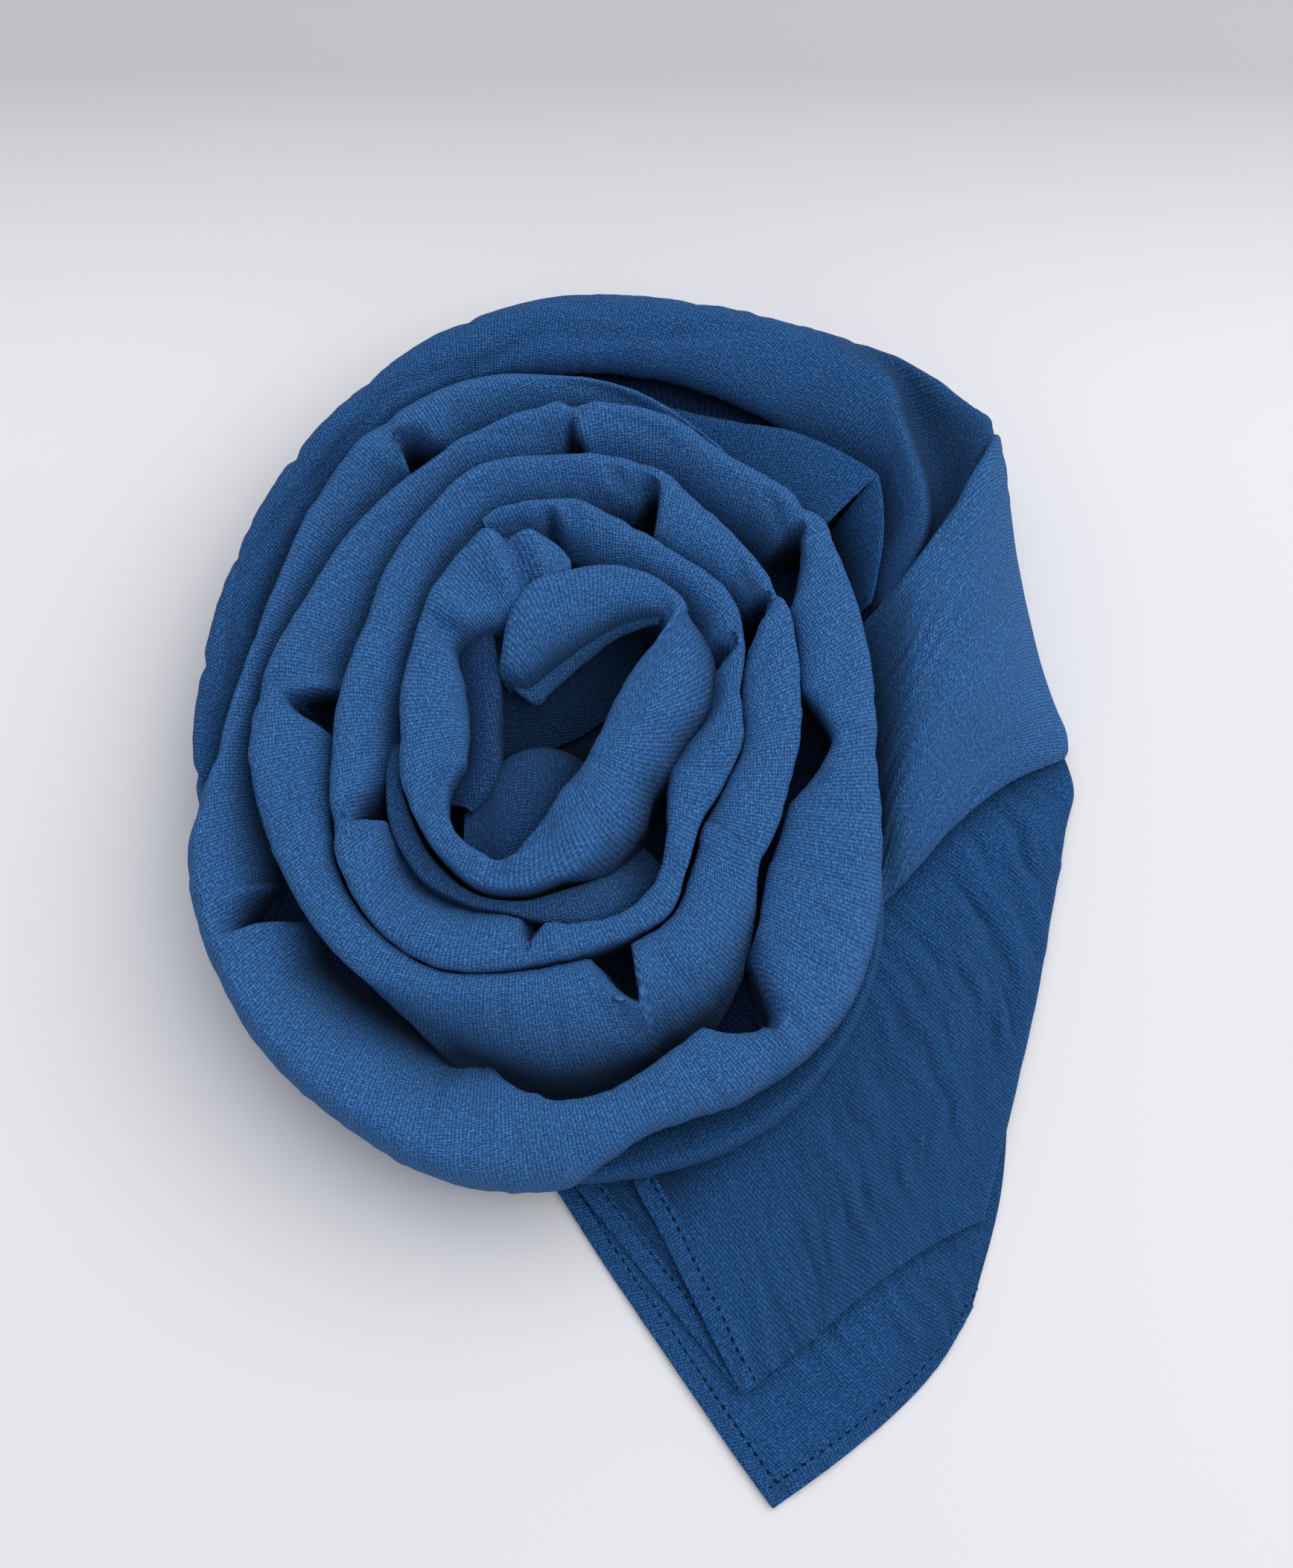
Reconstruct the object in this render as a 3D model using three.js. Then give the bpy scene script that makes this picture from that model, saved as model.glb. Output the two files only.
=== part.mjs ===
// A blue crepe headscarf, wound into a rose-like coil with its two ends left out at the lower right.
// Millimetres, +Z up, +Y towards the back of the table. The origin is the middle of the coil, on the table.
// The scarf is one long rectangle, folded lengthwise and wound inwards counter-clockwise, so each
// stretch that shows is a bent wall of cloth: an arch over the fold, with legs down into the crevices.
import * as THREE from "three";

// Driving dimensions
const WALL = 1.2;            // thickness of a stretch: folded crepe with the air in it
const GAP = 0.4;             // clearance between stretches that touch on the real scarf
const COIL_FLOOR = 28;       // height at which the inner turns' legs end, over the hidden layers
const LEG = COIL_FLOOR + GAP; // where the legs that stand over the hidden layers end
const TUCK = 2;              // how far an outer wall draws in where it meets the table
const STATION_STEP = 8;      // degrees between the sections of a turn
const SHEET_WALL = 1.0;      // thickness of the tail's single layers
const HEM_WIDTH = 5.5;       // finished width of the sewn hems
const HEM_LIFT = 0.3;        // clearance under a hem strip
const HEM_WALL = 0.7;        // thickness of a hem strip
const SIDE_ANGLES = [30, 60, 90].map((degrees) => THREE.MathUtils.degToRad(degrees));

// Tables: each row is one section or one fold, with the columns named first
const table = (columns, rows) =>
  rows.map((row) => Object.fromEntries(columns.map((name, i) => [name, row[i]])));

const SECTION = ["bearing", "inner", "outer", "ridge", "height", "innerDrop", "outerDrop", "innerFoot", "outerFoot"];
// bearing: degrees counter-clockwise from +X, growing inwards along the spiral; inner and outer: radii;
// ridge: where the fold's top lies, 0 at the inner edge and 1 at the outer; drops: from the top to the leg
const OUTER_TURN = table(SECTION, [
  [70, 101, 105, 0.6, 46, 6, 6, LEG, LEG],
  [80, 100.5, 108.5, 0.6, 49, 8, 10, LEG, LEG],
  [90, 99, 112, 0.6, 51, 10, 12, LEG, 28],
  [105, 94.6, 115, 0.55, 52, 12, 12, LEG, 28],
  [120, 89.6, 108.8, 0.55, 52, 12, 12, LEG, 28],
  [135, 86.2, 101.4, 0.5, 51, 10, 12, LEG, 28],
  [150, 83.6, 94.4, 0.5, 50, 9, 10, LEG, 26],
  [165, 85.6, 92, 0.5, 50, 6, 7, LEG, 24],
  [180, 86.6, 95.2, 0.5, 50, 7, 9, LEG, 20],
  [190, 85.6, 103, 0.7, 50, 10, 18, LEG, 8],
  [200, 84.6, 109.5, 0.75, 49, 12, 24, LEG, 0],
  [210, 84.2, 112, 0.8, 49, 14, 25, LEG, 0],
  [225, 84.6, 116, 0.8, 49, 15, 25, LEG, 0],
  [240, 83.8, 117.6, 0.8, 49, 15, 25, LEG, 0],
  [255, 88.6, 120.5, 0.75, 48, 12, 24, LEG, 0],
  [265, 94.8, 120, 0.65, 49, 10, 24, LEG, 6],
  [270, 96.4, 119, 0.5, 50, 9, 22, LEG, 14],
  [276, 94.8, 113, 0.5, 51, 9, 20, LEG, 25],
  [285, 90.2, 107, 0.5, 52, 8, 18, LEG, 25],
  [300, 84, 108, 0.6, 53, 9, 22, LEG, 25],
  [315, 73.2, 106, 0.6, 54, 10, 24, LEG, 25],
  [330, 64.8, 98.5, 0.6, 54, 10, 24, LEG, 25],
  [345, 63.4, 90, 0.55, 55, 10, 16, LEG, 27],
]);
const SECOND_TURN = table(SECTION, [
  [345, 63.4, 90, 0.55, 55, 10, 16, LEG, 27],
  [360, 64.6, 85.3, 0.5, 56, 10, 10, LEG, LEG],
  [375, 67, 87, 0.55, 57, 9, 9, LEG, LEG],
  [390, 72, 91, 0.6, 58, 11, 9, LEG, LEG],
  [405, 74.2, 95.7, 0.75, 58, 14, 9, LEG, LEG],
  [420, 77.5, 94.7, 0.75, 58, 12, 8, LEG, LEG],
  [435, 83, 99.5, 0.7, 58, 9, 8, LEG, LEG],
  [450, 82.6, 98.4, 0.7, 58, 8, 8, LEG, LEG],
  [465, 82.6, 94, 0.55, 58, 7, 7, LEG, LEG],
  [480, 77, 89, 0.55, 57, 7, 7, LEG, LEG],
  [495, 70.2, 85.4, 0.6, 57, 8, 8, LEG, LEG],
  [510, 63.8, 83, 0.6, 57, 10, 8, LEG, LEG],
  [525, 63, 85, 0.65, 56, 10, 8, LEG, LEG],
  [540, 63.1, 86, 0.7, 56, 10, 7, LEG, LEG],
  [555, 65.4, 84.6, 0.6, 56, 9, 8, LEG, LEG],
  [570, 69.9, 83.6, 0.5, 57, 7, 7, LEG, LEG],
  [585, 72.1, 84, 0.5, 57, 6, 6, LEG, LEG],
  [600, 71.1, 83.2, 0.5, 57, 6, 8, LEG, LEG],
  [615, 65.6, 88, 0.4, 57, 7, 14, LEG, LEG],
  [630, 60.6, 95, 0.35, 57, 8, 18, LEG, LEG],
  [645, 58.6, 89.2, 0.45, 58, 9, 17, LEG, LEG],
  [660, 56.6, 82, 0.55, 58, 9, 14, LEG, LEG],
  [675, 49.2, 71, 0.6, 58, 9, 9, LEG, LEG],
  [690, 44.4, 62.4, 0.55, 59, 8, 7, LEG, LEG],
]);
const THIRD_TURN = table(SECTION, [
  [690, 44.4, 62.4, 0.55, 59, 8, 7, LEG, LEG],
  [705, 45.6, 62.4, 0.5, 60, 7, 7, LEG, LEG],
  [720, 49, 64, 0.5, 60, 7, 6, LEG, LEG],
  [735, 50.3, 66.4, 0.5, 60, 8, 6, LEG, LEG],
  [750, 57.8, 71.3, 0.6, 61, 7, 6, LEG, LEG],
  [765, 62.2, 73.6, 0.6, 61, 6, 6, LEG, LEG],
  [780, 61.6, 76.9, 0.65, 61, 9, 6, LEG, LEG],
  [795, 65.8, 82.4, 0.75, 61, 12, 6, LEG, LEG],
  [810, 70.8, 82, 0.6, 61, 6, 6, LEG, LEG],
  [825, 69.8, 82, 0.6, 61, 6, 6, LEG, LEG],
  [840, 62.8, 76.4, 0.55, 61, 7, 7, LEG, LEG],
  [855, 54.6, 69.6, 0.55, 61, 8, 7, LEG, LEG],
  [870, 49.2, 63.2, 0.5, 61, 8, 7, LEG, LEG],
  [885, 46.8, 62.4, 0.5, 61, 8, 7, LEG, LEG],
  [900, 47, 62.5, 0.5, 61, 8, 7, LEG, LEG],
  [915, 50.7, 64.8, 0.6, 61, 8, 7, LEG, LEG],
  [930, 53, 69.3, 0.7, 61, 9, 6, LEG, LEG],
  [945, 54.6, 71.5, 0.75, 60, 9, 6, LEG, LEG],
  [960, 52.4, 70.5, 0.7, 60, 9, 7, LEG, LEG],
  [975, 50, 65, 0.6, 60, 7, 7, LEG, LEG],
  [990, 50.5, 60, 0.5, 60, 5, 6, LEG, LEG],
  [1005, 50.3, 58, 0.5, 60, 5, 6, LEG, LEG],
  [1020, 47, 56, 0.5, 60, 6, 6, LEG, LEG],
  [1035, 39.5, 47.6, 0.5, 60, 5, 5, LEG, LEG],
]);
const FOURTH_TURN = table(SECTION, [
  [1035, 39.5, 47.6, 0.5, 60, 5, 5, LEG, LEG],
  [1050, 33, 43.3, 0.5, 59, 5, 6, LEG, LEG],
  [1065, 30.5, 45, 0.5, 59, 6, 6, LEG, LEG],
  [1080, 33.5, 48.5, 0.6, 59, 7, 5, LEG, LEG],
  [1095, 43, 49.8, 0.5, 59, 4, 4, LEG, LEG],
  [1110, 46.6, 57.3, 0.6, 60, 5, 5, LEG, LEG],
  [1125, 52, 61.7, 0.5, 60, 5, 5, LEG, LEG],
  [1140, 53.2, 61.1, 0.5, 60, 4, 4, LEG, LEG],
  [1155, 52.5, 64.3, 0.5, 60, 6, 6, LEG, LEG],
  [1170, 58, 69.2, 0.55, 60, 6, 5, LEG, LEG],
  [1185, 64, 69.3, 0.5, 59, 3, 3, LEG, LEG],
  [1190, 63.9, 67.6, 0.5, 58, 2, 2, LEG, LEG],
]);
const FOURTH_TURN_REAPPEARING = table(SECTION, [
  [184, 44.4, 47.6, 0.5, 54, 2, 2, LEG, LEG],
  [195, 45.8, 49.6, 0.5, 55, 2, 2, LEG, LEG],
  [210, 46.4, 52.5, 0.5, 56, 3, 3, LEG, LEG],
  [225, 47.4, 54, 0.5, 56, 4, 4, LEG, LEG],
  [240, 48, 52, 0.5, 56, 2, 2, LEG, LEG],
  [255, 44.8, 49.4, 0.5, 55, 3, 3, LEG, LEG],
  [270, 39.8, 49.6, 0.5, 54, 5, 5, LEG, LEG],
  [285, 37, 49.6, 0.6, 54, 6, 4, LEG, LEG],
  [299, 33.4, 46, 0.6, 53, 7, 4, LEG, LEG],
]);
const INNER_TURN = table(SECTION, [
  [88.5, 48.6, 52.6, 0.5, 60, 3, 4, LEG, LEG],
  [92, 47.4, 56, 0.6, 62, 5, 5, LEG, LEG],
  [97, 46.4, 58.8, 0.7, 63, 8, 5, LEG, LEG],
  [101, 46, 60.8, 0.7, 64, 10, 6, LEG, LEG],
  [106, 46, 63.2, 0.7, 65, 12, 7, LEG, LEG],
  [120, 39.5, 59.3, 0.7, 66, 14, 8, LEG, LEG],
  [135, 41, 53, 0.6, 66, 10, 8, LEG, LEG],
  [150, 31.5, 48, 0.6, 66, 10, 8, LEG, LEG],
  [165, 27, 45.7, 0.6, 66, 10, 8, LEG, LEG],
  [180, 25.5, 43.6, 0.6, 66, 10, 8, LEG, LEG],
  [195, 29, 45.2, 0.6, 66, 9, 8, LEG, LEG],
  [210, 36.5, 45.8, 0.5, 66, 6, 7, LEG, LEG],
  [225, 39, 46.8, 0.5, 66, 6, 6, LEG, LEG],
  [240, 39, 47.4, 0.5, 66, 6, 6, LEG, LEG],
  [255, 29, 44.3, 0.6, 66, 8, 8, LEG, LEG],
  [270, 17, 39, 0.6, 66, 10, 9, LEG, LEG],
  [285, 13.5, 36, 0.5, 67, 10, 10, LEG, LEG],
  [300, 11.5, 32.3, 0.4, 68, 8, 10, LEG, LEG],
  [315, 9.5, 29, 0.35, 68, 8, 10, LEG, LEG],
  [330, 9, 26, 0.35, 69, 7, 10, LEG, LEG],
  [345, 9, 28, 0.35, 69, 7, 10, LEG, LEG],
  [360, 10, 31.5, 0.35, 69, 7, 11, LEG, LEG],
  [375, 11.5, 41, 0.4, 69, 8, 11, LEG, LEG],
  [390, 15, 46, 0.4, 69, 8, 9, LEG, LEG],
  [400, 21, 48.5, 0.5, 69, 8, 8, LEG, LEG],
  [408, 36, 51, 0.6, 68, 8, 8, LEG, LEG],
  [420, 37, 52.4, 0.7, 67, 10, 7, LEG, LEG],
  [435, 30, 50.5, 0.8, 67, 13, 6, 36, LEG],
  [450, 26.5, 46, 0.8, 67, 14, 6, 42, LEG],
  [465, 24.5, 43.5, 0.8, 66, 15, 6, 44, LEG],
  [480, 22, 37.6, 0.75, 64, 14, 6, 44, LEG],
]);
const TOP_WRAP = table(SECTION, [
  [29, 101, 105, 0.5, 36, 5, 6, 27, 26],
  [33, 110.2, 123, 0.55, 40, 8, 14, 27, 25],
  [37, 117, 141, 0.45, 43, 10, 18, LEG, 20],
  [40.5, 121, 152, 0.45, 44, 10, 18, LEG, 0],
  [45, 122, 157, 0.5, 45, 10, 20, LEG, 0],
  [52, 119, 154, 0.6, 45, 12, 21, LEG, 0],
  [60, 117, 148, 0.6, 45, 12, 22, LEG, 0],
  [75, 117, 142, 0.6, 45, 12, 22, LEG, 0],
  [90, 116, 140, 0.6, 44, 12, 22, LEG, 0],
  [105, 115.8, 134, 0.55, 44, 10, 20, LEG, 0],
  [120, 109.6, 125, 0.5, 44, 10, 20, LEG, 0],
  [135, 102.2, 117.5, 0.5, 44, 10, 20, LEG, 0],
  [150, 95.2, 111, 0.5, 43, 10, 20, LEG, 0],
  [165, 92.9, 107, 0.5, 42, 9, 20, 24, 0],
  [180, 96.2, 106, 0.5, 40, 7, 18, 16, 0],
  [186, 101.4, 106.5, 0.5, 38, 6, 14, 12, 0],
]);
const HOLLOW_LAYER = table(SECTION, [
  [43, 97.5, 119, 0.95, 47.5, 3, 3, LEG, LEG],
  [48, 97, 118, 0.9, 46, 5, 4, LEG, LEG],
  [56, 96, 116, 0.85, 42, 5, 5, LEG, LEG],
  [64, 97, 115.5, 0.8, 38, 4, 4, LEG, LEG],
  [69.4, 101, 115.6, 0.7, 35, 3, 3, LEG, LEG],
]);
const CORNER_FLAP = table(SECTION, [
  [28.5, 93, 98.5, 0.9, 37, 6, 4, LEG, LEG],
  [32, 94.5, 106, 0.92, 42, 10, 4, LEG, LEG],
  [36, 96.5, 113.5, 0.92, 45, 14, 4, LEG, LEG],
  [42.4, 98, 119.3, 0.92, 47, 17, 4, LEG, LEG],
]);
const UNDER_TURN = table(SECTION, [
  [264, 103, 116.4, 0.5, 20, 4, 10, 12, 8],
  [272, 102, 115.4, 0.55, 21, 5, 11, 12, 8.4],
  [285, 101, 116, 0.6, 23, 5, 13, 12, 8.6],
  [300, 101, 115, 0.6, 23, 5, 13, 12, 9.2],
  [315, 98.5, 110, 0.6, 23, 5, 12, 12, 9],
  [330, 92, 102, 0.6, 23, 5, 11, 13, 10],
  [338, 88, 96.5, 0.6, 23, 4, 9, 14, 12],
]);
const WELL_LAYER = table(SECTION, [
  [128, 26, 31, 0.5, 56, 4, 4, LEG, LEG],
  [150, 21.5, 28, 0.5, 57, 4, 4, LEG, LEG],
  [170, 19.5, 25.6, 0.5, 58, 4, 4, LEG, LEG],
  [185, 19, 24.8, 0.5, 58, 4, 4, LEG, LEG],
  [200, 21.5, 28, 0.5, 56, 5, 5, LEG, LEG],
]);
const WELL_FOLD = table(SECTION, [
  [204, 19, 30, 0.4, 52, 10, 8, LEG, LEG],
  [220, 11, 31, 0.45, 51, 10, 10, LEG, LEG],
  [240, 8.5, 29, 0.5, 50, 9, 11, LEG, LEG],
  [258, 7.5, 24, 0.5, 49, 9, 9, LEG, LEG],
  [275, 6.5, 13, 0.5, 48, 5, 5, LEG, LEG],
]);

// Pockets: a notch in a turn's inner edge, apex at the bearing, with a reach in degrees to each side
const POCKETS = table(["bearing", "before", "after", "depth"], [
  [117.5, 9, 2, 9],
  [209, 6, 4, 13],
  [306, 10, 5, 13],
  [361, 15, 12, 8.5],
  [403, 12, 3, 15],
  [449, 4.5, 2, 9],
  [530, 6, 7, 12],
  [646.5, 9, 2, 12],
  [756, 9, 2.5, 9],
  [790.5, 3.2, 5, 11],
  [922, 10, 3, 6],
]);

// The rounded heap of hidden layers under the turns: where its top starts to fall, and its rim
const HEAP = table(["bearing", "shoulder", "rim", "rimHeight"], [
  [0, 86, 122, 14],
  [15, 88, 126, 14],
  [30, 92, 128, 14],
  [45, 112, 146, 14],
  [60, 110, 140, 14],
  [75, 110, 134, 14],
  [90, 108, 132, 14],
  [105, 108, 127, 14],
  [120, 102, 118, 14],
  [135, 95, 110, 14],
  [150, 88, 104, 14],
  [165, 82, 96, 14],
  [180, 80, 92, 10],
  [195, 83, 99, 12],
  [210, 90, 107, 14],
  [225, 92, 111, 14],
  [240, 93, 112, 14],
  [255, 94, 112, 14],
  [266, 93, 100, 10],
  [285, 91, 99, 10],
  [300, 90, 98, 10],
  [315, 88, 96, 10],
  [330, 84, 90, 10],
  [345, 82, 88, 12],
]);

// Panels: each row of a panel is a crosswise line through named points, from one long edge to the other
const PANEL_ROW = ["edge", "crown", "brow", "shoulder", "rim", "foot"];
const SIDE_WRAP = table(PANEL_ROW, [
  [[83, 38.6, 33], [94.6, 47.6, 44], [106, 65.5, 46], [115, 83, 43], [120, 98, 30], [120.6, 100, 1]],
  [[83.8, 33.5, 31.2], [97, 42, 46], [111, 59, 46], [121, 76, 39], [127, 89, 26], [127, 90, 1]],
  [[84.8, 24, 30.2], [98, 28.5, 44], [115, 40, 42], [127, 54, 33], [133.4, 64, 20], [133, 64, 1]],
  [[86, 10, 29.4], [97, 12, 42], [115, 18.5, 39], [130, 28, 29], [138.6, 39, 15], [138, 39, 1]],
  [[86.6, -5, 28.6], [95.5, -4, 39], [113, 3, 34], [131, 13, 23], [143, 23, 11], [142.4, 23, 1]],
  [[88, -20, 28], [95, -17, 35], [110, -7, 29], [129, 5, 18], [145.2, 13, 9], [144.8, 14, 4]],
  [[88.5, -33, 22], [96, -25.5, 28], [109, -13, 25], [128, -0.5, 15], [145.6, 9.6, 7.6], [145.2, 10.6, 4]],
]);
const TAIL_ROW = ["left", "middle", "right"];
const TAIL_TOP_ROW = ["left", "innerMiddle", "middle", "outerMiddle", "right"];
const TAIL_TOP = table(TAIL_TOP_ROW, [
  [[19, -114, 7], [60, -80, 8], [87, -38, 9.2], [112, -11, 9], [143, 10, 5]],
  [[26, -127, 6.4], [66, -96, 7.4], [95, -62, 8.2], [118, -40, 7.6], [142, -17, 5]],
  [[35, -145, 6], [66, -121, 6.8], [92, -98, 7.2], [114, -77, 6.6], [134, -57, 4.8]],
  [[43, -161, 5.8], [66, -144, 6.2], [86, -129, 6.4], [105, -113, 6], [123, -97, 4.8]],
  [[49, -172, 5.6], [67, -158, 5.8], [85, -143, 5.8], [101, -132, 5.6], [115, -125, 4.8]],
]);
const TAIL_MIDDLE = table(TAIL_ROW, [
  [[2, -114, 3.2], [70, -80, 3.4], [122, -32, 3.4]],
  [[18, -134, 3.2], [76, -98, 3.4], [124, -60, 3.4]],
  [[34, -154, 3.2], [79, -122, 3.4], [119, -90, 3.4]],
  [[47, -170, 3.2], [82, -144, 3.4], [112, -120, 3.4]],
]);
const TAIL_BOTTOM = table(TAIL_ROW, [
  [[-5, -112, 1], [62, -86, 1], [124, -40, 1]],
  [[15, -143, 1], [74, -112, 1], [126, -78, 1]],
  [[37, -174, 1], [82, -146, 1], [118, -118, 1]],
  [[57, -202, 1], [87, -179, 1], [111, -155, 1]],
]);

/** Smooth, never overshooting value of a column at a bearing (monotone cubic through the rows). */
function columnAt(rows, column, bearing) {
  const last = rows.length - 1;
  const slope = (i) => (rows[i + 1][column] - rows[i][column]) / (rows[i + 1].bearing - rows[i].bearing);
  const tangent = (i) => {
    if (i === 0) return slope(0);
    if (i === last) return slope(last - 1);
    const before = slope(i - 1);
    const after = slope(i);
    return before * after <= 0 ? 0 : (2 * before * after) / (before + after);
  };
  if (bearing <= rows[0].bearing) return rows[0][column];
  if (bearing >= rows[last].bearing) return rows[last][column];
  const k = rows.findIndex((row) => row.bearing > bearing) - 1;
  const span = rows[k + 1].bearing - rows[k].bearing;
  const s = (bearing - rows[k].bearing) / span;
  const [a, b] = [rows[k][column], rows[k + 1][column]];
  return (
    a * (1 + 2 * s) * (1 - s) ** 2 + b * s * s * (3 - 2 * s) +
    span * (tangent(k) * s * (1 - s) ** 2 - tangent(k + 1) * s * s * (1 - s))
  );
}

/** Hem of the scarf's inner end: a strip up the inner leg of the last stretch, a clearance away from it. */
function startHem(rows, from, to, step) {
  const bearings = Array.from({ length: Math.round((to - from) / step) + 1 }, (_, i) => from + i * step);
  return wallThrough(
    bearings.map((bearing) => {
      const [radius, foot] = ["inner", "innerFoot"].map((name) => columnAt(rows, name, bearing));
      const [back, front] = [radius - HEM_LIFT, radius - HEM_LIFT - HEM_WALL];
      return [[front, foot], [front, foot + HEM_WIDTH], [back, foot + HEM_WIDTH], [back, foot]].map((point) =>
        toPoint(bearing, point)
      );
    })
  );
}

/** How far a turn's inner edge is notched at a bearing. */
function pocketDepth(bearing) {
  let depth = 0;
  for (const pocket of POCKETS) {
    const offset = bearing - pocket.bearing;
    const reach = offset < 0 ? pocket.before : pocket.after;
    depth = Math.max(depth, pocket.depth * Math.max(0, 1 - Math.abs(offset) / reach));
  }
  return depth;
}

/** The section of a turn at a bearing, as columns. */
function sectionAt(rows, bearing, notched) {
  const section = Object.fromEntries(SECTION.map((name) => [name, columnAt(rows, name, bearing)]));
  const notch = notched ? Math.min(pocketDepth(bearing), (section.outer - section.inner) * 0.62) : 0;
  const ridgeRadius = section.inner + section.ridge * (section.outer - section.inner);
  section.inner += notch;
  section.ridgeRadius = Math.max(ridgeRadius, section.inner + 0.3 * (section.outer - section.inner));
  return section;
}

/** Outer line of a section, from the inner foot over the fold to the outer foot, as [radius, z]. */
function archLine({ inner, outer, ridgeRadius, height, innerDrop, outerDrop, innerFoot, outerFoot }) {
  const line = [[inner, innerFoot]];
  for (const angle of [...SIDE_ANGLES].reverse()) {
    line.push([ridgeRadius - (ridgeRadius - inner) * Math.sin(angle), height - innerDrop * (1 - Math.cos(angle))]);
  }
  line.push([ridgeRadius, height]);
  for (const angle of SIDE_ANGLES) {
    line.push([ridgeRadius + (outer - ridgeRadius) * Math.sin(angle), height - outerDrop * (1 - Math.cos(angle))]);
  }
  line.push([outerFoot === 0 ? outer - TUCK : outer, outerFoot]);
  return line;
}

/** The same line drawn in by the wall's thickness; the two feet stay on their heights. */
function lining(line, wall) {
  return line.map(([radius, z], i) => {
    const before = line[Math.max(i - 1, 0)];
    const after = line[Math.min(i + 1, line.length - 1)];
    const [dr, dz] = [after[0] - before[0], after[1] - before[1]];
    const length = Math.hypot(dr, dz);
    const isFoot = i === 0 || i === line.length - 1;
    return [radius + (wall * dz) / length, isFoot ? z : z - (wall * dr) / length];
  });
}

const toPoint = (bearing, [radius, z]) => {
  const angle = THREE.MathUtils.degToRad(bearing);
  return [radius * Math.cos(angle), radius * Math.sin(angle), z];
};

/** Closed geometry from loops of points, one loop a station, with flat ends made of the loop's own quads. */
function wallThrough(loops) {
  const size = loops[0].length;
  const half = size / 2;
  const positions = loops.flat(2);
  const index = [];
  const at = (station, point) => station * size + (point % size);
  for (let s = 0; s < loops.length - 1; s++) {
    for (let p = 0; p < size; p++) {
      index.push(at(s, p), at(s, p + 1), at(s + 1, p + 1), at(s, p), at(s + 1, p + 1), at(s + 1, p));
    }
  }
  const end = loops.length - 1;
  for (let p = 0; p < half - 1; p++) {
    const q = size - 1 - p;
    index.push(at(0, p), at(0, q), at(0, q - 1), at(0, p), at(0, q - 1), at(0, p + 1));
    index.push(at(end, p), at(end, p + 1), at(end, q - 1), at(end, p), at(end, q - 1), at(end, q));
  }
  const geometry = new THREE.BufferGeometry();
  geometry.setAttribute("position", new THREE.Float32BufferAttribute(positions, 3));
  geometry.setIndex(index);
  return facingOut(geometry);
}

/** Turns a closed geometry inside out where its volume is negative. */
function facingOut(geometry) {
  const points = geometry.getAttribute("position");
  const index = geometry.getIndex().array;
  const [a, b, c] = [new THREE.Vector3(), new THREE.Vector3(), new THREE.Vector3()];
  let volume = 0;
  for (let i = 0; i < index.length; i += 3) {
    a.fromBufferAttribute(points, index[i]);
    b.fromBufferAttribute(points, index[i + 1]);
    c.fromBufferAttribute(points, index[i + 2]);
    volume += a.dot(b.cross(c));
  }
  if (volume < 0) {
    for (let i = 0; i < index.length; i += 3) [index[i + 1], index[i + 2]] = [index[i + 2], index[i + 1]];
  }
  geometry.computeVertexNormals();
  return geometry;
}

/** Bearings of a stretch's sections: its rows, even steps between them, and the pockets' edges and apexes. */
function stations(rows, step) {
  const even = rows.slice(1).flatMap((row, k) => {
    const from = rows[k].bearing;
    const count = Math.ceil((row.bearing - from) / step);
    return Array.from({ length: count }, (_, i) => from + ((row.bearing - from) * (i + 1)) / count);
  });
  const [first, last] = [rows[0].bearing, rows[rows.length - 1].bearing];
  const keys = POCKETS.flatMap((p) => [p.bearing - p.before, p.bearing, p.bearing + p.after]);
  const own = keys.filter((key) => key > first + 1 && key < last - 1);
  const clear = even.filter((bearing) => own.every((key) => Math.abs(key - bearing) > 1.5));
  const endGap = THREE.MathUtils.radToDeg(GAP / 2 / rows[0].outer) + 0.05;
  return [first, ...clear, ...own]
    .sort((one, other) => one - other)
    .filter((bearing, i, all) => i === 0 || bearing - all[i - 1] > 0.5)
    .map((bearing, i, all) => bearing + (i === 0 ? endGap : i === all.length - 1 ? -endGap : 0));
}

/** One stretch of the winding: arches from one bearing to another, cut back by half a gap at each end. */
function stretch(rows, { notched = false, step = STATION_STEP } = {}) {
  return wallThrough(
    stations(rows, step).map((bearing) => {
      const line = archLine(sectionAt(rows, bearing, notched));
      const loop = [...line, ...lining(line, WALL).reverse()];
      return loop.map((point) => toPoint(bearing, point));
    })
  );
}

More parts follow.
